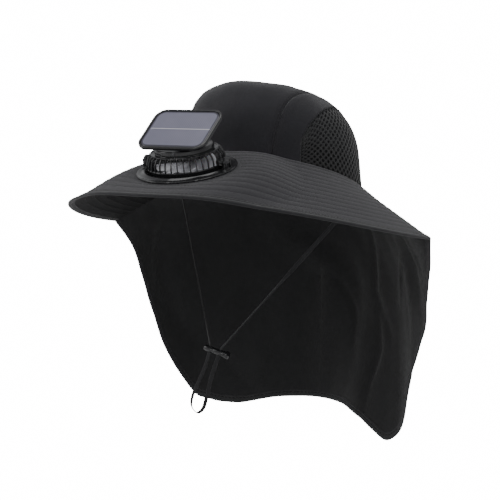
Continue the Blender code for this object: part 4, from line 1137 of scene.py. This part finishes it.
def soften(obj, width, segments=3, angle=40):
    """Round an object's sharp edges."""
    mod = obj.modifiers.new("bevel", "BEVEL")
    mod.width = width
    mod.segments = segments
    mod.limit_method = "ANGLE"
    mod.angle_limit = math.radians(angle)
    finish_modifiers(obj)
    obj.data.shade_smooth()
    obj.data.set_sharp_from_angle(angle=math.radians(50))
    return obj


def gather(name, pieces, look):
    """Join pieces into one object."""
    bm = bmesh.new()
    for piece in pieces:
        bm.from_mesh(piece.data)
        bpy.data.objects.remove(piece, do_unlink=True)
    data = bpy.data.meshes.new(name)
    bm.to_mesh(data)
    bm.free()
    data.materials.append(look)
    data.shade_smooth()
    data.set_sharp_from_angle(angle=math.radians(40))
    obj = bpy.data.objects.new(name, data)
    bpy.context.scene.collection.objects.link(obj)
    return obj


def round_rect(width, depth, corner, steps=12):
    """Outline of a rectangle with round corners."""
    points = []
    for sx, sy, start in ((1, 1, 0), (-1, 1, 90), (-1, -1, 180), (1, -1, 270)):
        for k in range(steps + 1):
            t = math.radians(start + 90 * k / steps)
            points.append((sx * (width / 2 - corner) + corner * math.cos(t), sy * (depth / 2 - corner) + corner * math.sin(t)))
    return points


def make_flange():
    """Glossy flange dish with its ears, and the clamp ring under the brim."""
    o, i, neck, lift = FLANGE_RADIUS, FLANGE_INNER, FLANGE_INNER + NECK_WALL, SEAM_GAP
    profile = [(neck, lift), (o - 0.0006, lift), (o - 0.0001, 0.0008), (o, 0.0014), (o - 0.0003, 0.0020),
               (o - 0.0010, 0.0023), (o - 0.0018, 0.0021), (o - 0.0026, 0.0016), (o - 0.0048, 0.0016),
               (o - 0.0068, 0.0024), (i + 0.0012, 0.0034), (i + 0.0005, 0.0034), (i, 0.0028), (i, -NECK_DEPTH),
               (neck, -NECK_DEPTH)]
    pieces = [lathe("flange_dish", profile, PLASTIC, 128)]
    for side in (1, -1):
        low, high = sorted((side * EAR_INNER, side * (EAR_INNER + EAR_THICKNESS)))
        outline = [(-0.0050, 0.0012), (0.0050, 0.0012), (0.0050, PIVOT_HEIGHT)]
        outline += [(0.005 * math.cos(t), PIVOT_HEIGHT + 0.005 * math.sin(t)) for t in np.linspace(0, math.pi, 16)[1:-1]]
        outline += [(-0.0050, PIVOT_HEIGHT)]
        pieces.append(soften(prism("ear", outline, low, high, PLASTIC, "X"), 0.0005))
        foot = [(-0.0068, 0.0012), (0.0068, 0.0012), (0.0060, 0.0034), (-0.0060, 0.0034)]
        pieces.append(soften(prism("ear_foot", foot, low - 0.0006, high + 0.0006, PLASTIC, "X"), 0.0004))
        for y in (-0.0038, 0.0038):
            rib = [(y - 0.0007, 0.003), (y + 0.0007, 0.003), (y + 0.0007, PIVOT_HEIGHT + 0.002), (y - 0.0007, PIVOT_HEIGHT + 0.002)]
            outer = high if side > 0 else low
            pieces.append(soften(prism("ear_rib", rib, min(outer, outer + side * 0.0010), max(outer, outer + side * 0.0010),
                                       PLASTIC, "X"), 0.0003))
        at = side * (EAR_INNER + EAR_THICKNESS)
        cap = plug("ear_cap", [(0.0018, side * 0.0010), (0.0026, side * 0.0007), (0.0029, 0), (0.0029, -side * 0.001)],
                   PLASTIC, 32, "X")
        placed(cap, Matrix.Translation((at, 0, PIVOT_HEIGHT)))
        pieces.append(cap)
    flange = placed(gather("fan_dish", pieces, PLASTIC), FAN_MATRIX)
    link(flange, "hat", ["fan_flange"])
    top = -0.0024 - SEAM_GAP
    clamp_in, clamp_out, low = neck + SEAM_GAP, 0.0465, top - 0.003
    ring = [(clamp_in, low + 0.0004), (clamp_in, top), (clamp_out, top), (clamp_out, low + 0.0008), (clamp_out - 0.0008, low),
            (clamp_in + 0.0004, low)]
    clamp = placed(lathe("clamp_ring", ring, PLASTIC, 128), FAN_MATRIX)
    link(clamp, "hat", ["fan_clamp_ring"])


CAGE_RIB_PATH = ((0.866, 0.285), (0.900, 0.262), (0.950, 0.190), (0.984, 0.090), (0.992, 0.000), (0.984, -0.080))
CAGE_RIB_COUNT = 38


def make_cage():
    """Cage of thin curved ribs between a wire ring and a bowl, with its hub, spokes and pivot bosses."""
    c = CAGE_RADIUS
    track = smooth_path([(r * c, 0, z * c) for r, z in CAGE_RIB_PATH], 22)
    away = track - np.array((0.019, 0, -0.001))
    away /= np.linalg.norm(away, axis=-1, keepdims=True)
    half, deep = 0.00048, 0.00075
    profile = [(half, -deep), (half, deep * 0.6), (half * 0.55, deep), (-half * 0.55, deep), (-half, deep * 0.6),
               (-half, -deep)]
    pieces = []
    for k in range(CAGE_RIB_COUNT):
        rib = swept("rib", track, profile, away, PLASTIC)
        placed(rib, Matrix.Rotation(2 * math.pi * (k + 0.5) / CAGE_RIB_COUNT, 4, "Z"))
        pieces.append(recalc(rib))
    middle = (0.866 * c, 0.283 * c)
    wire = [(middle[0] + 0.0008 * math.cos(t), middle[1] + 0.0006 * math.sin(t))
            for t in np.linspace(0, 2 * math.pi, 12, endpoint=False)]
    bowl = [(0.968, -0.052), (0.990, -0.050), (0.999, -0.062), (0.998, -0.082), (0.989, -0.100), (0.982, -0.150),
            (0.952, -0.240), (0.914, -0.330), (0.884, -0.400), (0.862, -0.404), (0.850, -0.390), (0.882, -0.318),
            (0.918, -0.235), (0.948, -0.140), (0.958, -0.070)]
    pieces += [lathe("ring_top", wire, PLASTIC, 128), lathe("bowl", [(r * c, z * c) for r, z in bowl], PLASTIC, 128)]
    for side in (1, -1):
        boss = plug("boss", [(0.0030, side * (EAR_INNER - SEAM_GAP)), (0.0033, side * (EAR_INNER - 0.0010)),
                             (0.0036, side * 0.0350)], PLASTIC, 32, "X")
        pieces.append(boss)
    hub_top = DRUM_LOW - SEAM_GAP
    pieces.append(plug("hub", [(0.0096, hub_top), (0.0100, hub_top - 0.0005), (0.0100, 0.0024), (0.0094, 0.0015)],
                       PLASTIC, 48))
    pieces.append(plug("housing", [(0.0225, hub_top), (0.0240, hub_top - 0.0004), (0.0243, hub_top - 0.0012), (0.0240, 0.0056),
                                   (0.0225, 0.0046)], PLASTIC, 72))
    pieces.append(lathe("cap", [(0.0240, 0.0092), (0.0290, 0.0094), (0.0324, 0.0106), (0.0324, 0.0100), (0.0292, 0.0087),
                                (0.0240, 0.0084)], PLASTIC, 128))
    for k in range(8):
        path = smooth_path([(0.0070, 0, 0.0034), (0.0180, 0, 0.0042), (0.0270, 0, 0.0068), (0.0322, 0, 0.0100)], 14)
        spoke = swept("spoke", path, [(0.0009, -0.0006), (0.0009, 0.0004), (0.0005, 0.0007), (-0.0005, 0.0007),
                                      (-0.0009, 0.0004), (-0.0009, -0.0006)], np.tile((0, 0, 1.0), (14, 1)), PLASTIC)
        pieces.append(recalc(placed(spoke, Matrix.Rotation(2 * math.pi * (k + 0.5) / 8, 4, "Z"))))
    cage = placed(gather("cage_ribs", pieces, PLASTIC), CAGE_MATRIX)
    link(cage, "fan", ["fan_cage"])

    m = -0.0095
    motor = [plug("motor_can", [(0.0080, m), (0.0092, m - 0.0004), (0.0095, m - 0.0012), (0.0095, m - 0.0074),
                                (0.0089, m - 0.008)], PLASTIC, 48)]
    ring_r, ring_z = 0.880 * c, -0.400 * c
    reach = ring_r - 0.0014 - SEAM_GAP
    for k in range(2):
        outline = [(-0.0013, ring_z - 0.0004), (0.0013, ring_z - 0.0004), (0.0013, ring_z + 0.0016),
                   (-0.0013, ring_z + 0.0016)]
        arm = soften(prism("arm", outline, -reach, reach, PLASTIC, "X"), 0.0003)
        motor.append(placed(arm, Matrix.Rotation(math.pi / 4 + k * math.pi / 2, 4, "Z")))
    obj = placed(gather("motor_mount", motor, PLASTIC), CAGE_MATRIX)
    link(obj, "fan", ["fan_motor"])


def make_rotor():
    """Grey moulded rotor: hub with seven twisted blades."""
    bottom, height = -0.0095 + SEAM_GAP, 0.0095
    middle = bottom + height / 2
    hub_r = 0.0095
    pieces = [plug("rotor_hub", [(0.0070, bottom + height), (0.0086, bottom + height - 0.0003), (hub_r, bottom + height - 0.0014),
                                 (hub_r, bottom + 0.0004), (hub_r - 0.0004, bottom)], BLADE, 56)]
    for k in range(7):
        rows = []
        for r in np.linspace(hub_r * 0.85, 0.0303, 14):
            share = (r - hub_r) / (0.0303 - hub_r)
            pitch = math.radians(40 - 10 * share)
            half = 0.0070 + 0.0022 * math.sin(math.pi * np.clip(share * 0.6 + 0.1, 0, 1))
            row = []
            for t in np.linspace(-1, 1, 9):
                along = half * t
                camber = 0.0011 * (1 - t * t)
                y, z = along * math.cos(pitch) - camber * math.sin(pitch), along * math.sin(pitch) + camber * math.cos(pitch)
                z = np.clip(z, -height * 0.52, height * 0.52)
                row.append((math.sqrt(max(r * r - y * y, 1e-8)), y, middle + z))
            rows.append(row)
        blade = grid_object("blade", np.array(rows), BLADE)
        wall(blade, 0.0011, 0.0)
        finish_modifiers(blade)
        pieces.append(placed(soften(blade, 0.0003, 2), Matrix.Rotation(2 * math.pi * k / 7, 4, "Z")))
    rotor = placed(gather("rotor_blades", pieces, BLADE), CAGE_MATRIX)
    link(rotor, "rotor", ["fan_rotor"])


def make_drum():
    """Drum on the cage with its socket and button, and the cheeks of the panel's hinge."""
    r, low, high = DRUM_RADIUS, DRUM_LOW, DRUM_TOP
    middle = (low + high) / 2
    drum = plug("drum_shell", [(r - 0.0016, high), (r - 0.0006, high - 0.0002), (r - 0.0001, high - 0.0007),
                               (r, high - 0.0014), (r, low + 0.0016), (r - 0.0004, low + 0.0013), (r - 0.0004, low + 0.0010),
                               (r - 0.0002, low + 0.0007), (r - 0.0010, low)], PLASTIC, 96)
    to_slot = Matrix.Rotation(SLOT_TURN, 4, "Z") @ Matrix.Translation((0, 0, middle))
    to_button = (Matrix.Rotation(BUTTON_TURN, 4, "Z") @ Matrix.Translation((0, -r, middle))
                 @ Matrix.Rotation(math.pi / 2, 4, "X"))
    slot = soften(prism("slot", round_rect(0.0095, 0.0030, 0.0010, 4), -r - 0.002, -r + 0.002, PLASTIC, "Y"), 0.0001)
    placed(slot, to_slot)
    well = placed(plug("well", [(0.0023, 0.002), (0.0023, -0.0022)], PLASTIC, 32), to_button)
    join_boolean(drum, [slot, well])
    drum.data.shade_smooth()
    drum.data.set_sharp_from_angle(angle=math.radians(38))
    pieces = [drum]
    y = PANEL_SETBACK
    for side in (1, -1):
        x0, x1 = sorted((side * 0.0034, side * 0.0056))
        outline = [(y - 0.003, high - 0.0010), (y + 0.003, high - 0.0010), (y + 0.003, PANEL_PIVOT)]
        outline += [(y + 0.003 * math.cos(t), PANEL_PIVOT + 0.003 * math.sin(t)) for t in np.linspace(0, math.pi, 12)[1:-1]]
        outline += [(y - 0.003, PANEL_PIVOT)]
        pieces.append(soften(prism("cheek", outline, x0, x1, PLASTIC, "X"), 0.0003))
    tongue = soften(prism("tongue", round_rect(0.0062, 0.0009, 0.0003, 3), -r + 0.0004, -r + 0.0025, PLASTIC, "Y"), 0.0001)
    pieces.append(placed(tongue, to_slot))
    body = placed(gather("drum_body", pieces, PLASTIC), CAGE_MATRIX)
    link(body, "fan", ["panel_drum"])
    lip = frame_ring("socket_shell", round_rect(0.0094, 0.0029, 0.0010, 6), round_rect(0.0086, 0.0021, 0.0007, 6),
                     -r - 0.0002, -r + 0.0018, STEEL)
    link(placed(placed(lip, to_slot), CAGE_MATRIX), "fan")
    button = plug("button", [(0.0012, 0.0008), (0.0016, 0.0006), (0.0019, 0.0002), (0.0019, -0.0015)], BUTTON, 32)
    placed(button, to_button)
    link(placed(button, CAGE_MATRIX), "fan", ["drum_button"])


def make_solar_head():
    """Bracket on the hinge, bevelled frame and the cell under resin."""
    top = PANEL_LIFT - SEAM_GAP
    knuckle = plug("knuckle", [(0.0030, 0.0030), (0.0030, -0.0030)], PLASTIC, 32, "X")
    stem = soften(prism("stem", round_rect(0.0060, 0.0060, 0.0006, 3), 0.0, top - 0.0004, PLASTIC), 0.0002)
    plate = plug("plate", [(0.0088, top), (0.0090, top - 0.0003), (0.0090, top - 0.0011), (0.0084, top - 0.0016)],
                 PLASTIC, 48)
    web = [(-0.0088, top - 0.0012), (0.0088, top - 0.0012), (0.0022, 0.0030), (-0.0022, 0.0030)]
    rib = soften(prism("web", web, -0.0009, 0.0009, PLASTIC, "X"), 0.0003)
    bracket = placed(gather("bracket_body", [knuckle, stem, plate, rib], PLASTIC), HINGE_MATRIX)
    link(bracket, "solar_head", ["panel_bracket"])

    base = PANEL_LIFT
    top = base + PANEL_THICKNESS
    w, d, corner = PANEL_WIDTH, PANEL_DEPTH, PANEL_CORNER
    levels = [(base, -0.0018), (base + 0.0003, -0.0008), (base + 0.0010, -0.0001), (base + 0.0014, 0.0),
              (top - 0.0012, 0.0), (top - 0.0005, -0.0002), (top - 0.0001, -0.0006), (top, -0.0010)]
    levels += [(top, -PANEL_RIM + 0.0005), (top - 0.0003, -PANEL_RIM + 0.0001), (top - 0.0008, -PANEL_RIM),
               (top - 0.0020, -PANEL_RIM)]
    rings = [round_rect(w + 2 * g, d + 2 * g, corner + g, 14) for _, g in levels]
    count = len(rings[0])
    verts = [(x, y, z) for ring, (z, _) in zip(rings, levels) for x, y in ring]
    faces = []
    for j in range(len(rings) - 1):
        for i in range(count):
            n = (i + 1) % count
            faces.append((j * count + i, j * count + n, (j + 1) * count + n, (j + 1) * count + i))
    faces.append(tuple(range(count))[::-1])
    faces.append(tuple((len(rings) - 1) * count + i for i in range(count)))
    frame_obj = recalc(mesh_object("panel_bezel", verts, faces, PLASTIC, sharp=45))
    link(placed(frame_obj, HINGE_MATRIX), "solar_head", ["panel_frame"])
    g = -PANEL_RIM - 0.0005
    outline = round_rect(w + 2 * g, d + 2 * g, corner + g, 14)
    small = round_rect(w + 2 * g - 0.0008, d + 2 * g - 0.0008, corner + g - 0.0004, 14)
    count = len(outline)
    verts = [(x, y, top - 0.0018) for x, y in outline] + [(x, y, top - 0.0009) for x, y in outline]
    verts += [(x, y, top - 0.0006) for x, y in small]
    faces = [tuple(range(count))[::-1], tuple(2 * count + i for i in range(count))]
    for j in range(2):
        for i in range(count):
            n = (i + 1) % count
            faces.append((j * count + i, j * count + n, (j + 1) * count + n, (j + 1) * count + i))
    uv = [(v[0], v[1]) for v in verts]
    cell = recalc(mesh_object("cell_glass", verts, faces, CELL, uv, sharp=30))
    link(placed(cell, HINGE_MATRIX), "solar_head", ["solar_cell"])


def frame_ring(name, outline, hollow, low, high, look):
    """A flat ring between two outlines, standing along Y."""
    count = len(outline)
    verts = [(x, low, z) for x, z in outline] + [(x, high, z) for x, z in outline]
    verts += [(x, low, z) for x, z in hollow] + [(x, high, z) for x, z in hollow]
    faces = []
    for i in range(count):
        n = (i + 1) % count
        faces += [(i, n, 2 * count + n, 2 * count + i), (count + i, count + n, 3 * count + n, 3 * count + i),
                  (i, n, count + n, count + i), (2 * count + i, 2 * count + n, 3 * count + n, 3 * count + i)]
    return recalc(mesh_object(name, verts, faces, look, sharp=38))


def make_lock():
    """Glossy barrel lock with its push button."""
    turn = Matrix.Translation(LOCK_CENTRE) @ Matrix.Rotation(LOCK_TURN, 4, "Y")
    h, r = LOCK_LENGTH / 2, LOCK_RADIUS
    profile = [(r * 0.55, -h), (r * 0.85, -h + 0.0004), (r, -h + 0.0014), (r, -h * 0.25), (r * 0.93, -h * 0.2), (r * 0.93, -h * 0.05),
               (r, 0), (r, h - 0.0012), (r * 0.92, h - 0.0003), (r * 0.8, h)]
    barrel = placed(plug("lock_barrel", profile, PLASTIC, 48, "X"), turn)
    link(barrel, "hat", ["cord_lock"])
    start = h + SEAM_GAP
    b = 0.0042
    profile = [(b * 0.80, start), (b * 0.97, start + 0.0004), (b, start + 0.0012), (b, start + 0.0032), (b * 0.93, start + 0.0041),
               (b * 0.7, start + 0.0045)]
    button = placed(plug("lock_push_button", profile, PLASTIC, 48, "X"), turn)
    link(button, "hat", ["lock_button"])
    return barrel, button


# Stage


def area_light(name, place, target, size, power, colour=(1, 1, 1)):
    """A soft rectangular lamp aimed at a point."""
    data = bpy.data.lights.new(name, "AREA")
    data.shape = "RECTANGLE"
    data.size, data.size_y = size
    data.energy = power
    data.color = colour
    obj = bpy.data.objects.new(name, data)
    bpy.context.scene.collection.objects.link(obj)
    obj.location = place
    obj.rotation_euler = (Vector(target) - Vector(place)).to_track_quat("-Z", "Y").to_euler()
    return obj


def make_stage():
    """White surroundings, soft lamps and a pale floor well below the hat."""
    world = bpy.data.worlds.new("studio")
    bpy.context.scene.world = world
    world.use_nodes = True
    tree = world.node_tree
    tree.nodes.clear()
    rays = add(tree, "ShaderNodeLightPath")
    seen = add(tree, "ShaderNodeBackground")
    seen.inputs["Color"].default_value = (1, 1, 1, 1)
    seen.inputs["Strength"].default_value = 16.0
    lit = add(tree, "ShaderNodeBackground")
    lit.inputs["Color"].default_value = (0.97, 0.98, 1.0, 1)
    lit.inputs["Strength"].default_value = 0.40
    both = add(tree, "ShaderNodeMixShader", [(0, rays.outputs["Is Camera Ray"]), (1, lit.outputs[0]), (2, seen.outputs[0])])
    add(tree, "ShaderNodeOutputWorld", [("Surface", both.outputs[0])])
    area_light("lamp_top", (0.1, -0.35, 1.3), (0, 0, -0.02), (1.5, 1.3), 12)
    area_light("lamp_left", (-1.3, -0.9, 0.6), (0, 0, -0.1), (0.7, 1.0), 4)
    area_light("lamp_right", (1.4, -0.7, 0.5), (0, 0, -0.1), (0.6, 1.0), 2.6)
    area_light("lamp_strip_left", (-0.35, -1.6, 0.35), (0, -0.17, 0.02), (0.07, 0.9), 1.3)
    area_light("lamp_strip_right", (1.15, -1.2, 0.25), (0, -0.17, 0.02), (0.06, 0.7), 1.0)

    made, tree, shader = new_material("pale_floor", (0.86, 0.86, 0.86), 0.7)
    out = tree.nodes["Material Output"]
    grain = add(tree, "ShaderNodeTexNoise", Scale=40.0, Detail=2.0)
    tree.links.new(mix_colour(tree, grain.outputs["Fac"], (0.85, 0.85, 0.85), (0.88, 0.88, 0.88)), shader.inputs["Base Color"])
    rays = add(tree, "ShaderNodeLightPath")
    glow = add(tree, "ShaderNodeEmission", Strength=16.0)
    both = add(tree, "ShaderNodeMixShader", [(0, rays.outputs["Is Camera Ray"]), (1, shader.outputs[0]), (2, glow.outputs[0])])
    tree.links.new(both.outputs[0], out.inputs["Surface"])
    data = bpy.data.meshes.new("floor")
    data.from_pydata([(-6, -6, 0), (6, -6, 0), (6, 6, 0), (-6, 6, 0)], [], [(0, 1, 2, 3)])
    data.materials.append(made)
    floor = bpy.data.objects.new("floor", data)
    bpy.context.scene.collection.objects.link(floor)
    floor.location.z = CAD_BOX[0][2] - 0.06


make_camera()

CLOTH = cloth_material("hat_cloth", (0.0155, 0.0152, 0.0180), (0.0240, 0.0234, 0.0275))
FLAP = cloth_material("flap_cloth", (0.0200, 0.0200, 0.0205), (0.0300, 0.0300, 0.0308))
# Underside of the brim: the brim cloth darkened as painted shade under the brim.
BRIM_UNDERSIDE_SHADE = cloth_material("brim_underside_painted_shade", (0.0060, 0.0060, 0.0063), (0.0100, 0.0100, 0.0104), sheen=0.04)
TRIM = cloth_material("binding_tape", (0.016, 0.016, 0.0175), (0.029, 0.029, 0.031), weave=0.0011, slub=0.4, depth=0.0002)
HEM = cloth_material("flap_hem", (0.031, 0.031, 0.0325), (0.050, 0.050, 0.052), weave=0.0011, slub=0.4, depth=0.0002)
BAND = cloth_material("sweatband_cloth", (0.006, 0.006, 0.0065), (0.010, 0.010, 0.011))
NET = cloth_material("net_knit", (0.020, 0.020, 0.0205), (0.034, 0.034, 0.035), weave=0.0004, slub=0.3, depth=0.00008)
TAPE = cloth_material("cord_tape", (0.020, 0.020, 0.021), (0.036, 0.036, 0.038), weave=0.0009, slub=0.3, depth=0.0002)
THREAD = cloth_material("thread", (0.008, 0.008, 0.0085), (0.014, 0.014, 0.015), weave=0.0003, slub=0.3, depth=0.00003)
SEAM_THREAD = cloth_material("seam_thread", (0.0025, 0.0025, 0.0027), (0.0045, 0.0045, 0.0048), weave=0.0003, slub=0.3,
                             depth=0.00003)
PLASTIC = plastic_material("gloss_black_plastic", (0.011, 0.011, 0.012), 0.16)
BUTTON = plastic_material("button_plastic", (0.030, 0.030, 0.033), 0.3)
BLADE = plastic_material("rotor_plastic", (0.60, 0.60, 0.63), 0.3)
STEEL = plastic_material("socket_steel", (0.14, 0.14, 0.145), 0.35)
CELL = cell_material()

make_lock()
make_cords()
make_crown()
make_sweatband()
make_brim()
make_flap()
make_flange()
make_cage()
make_rotor()
make_drum()
make_solar_head()
make_stage()
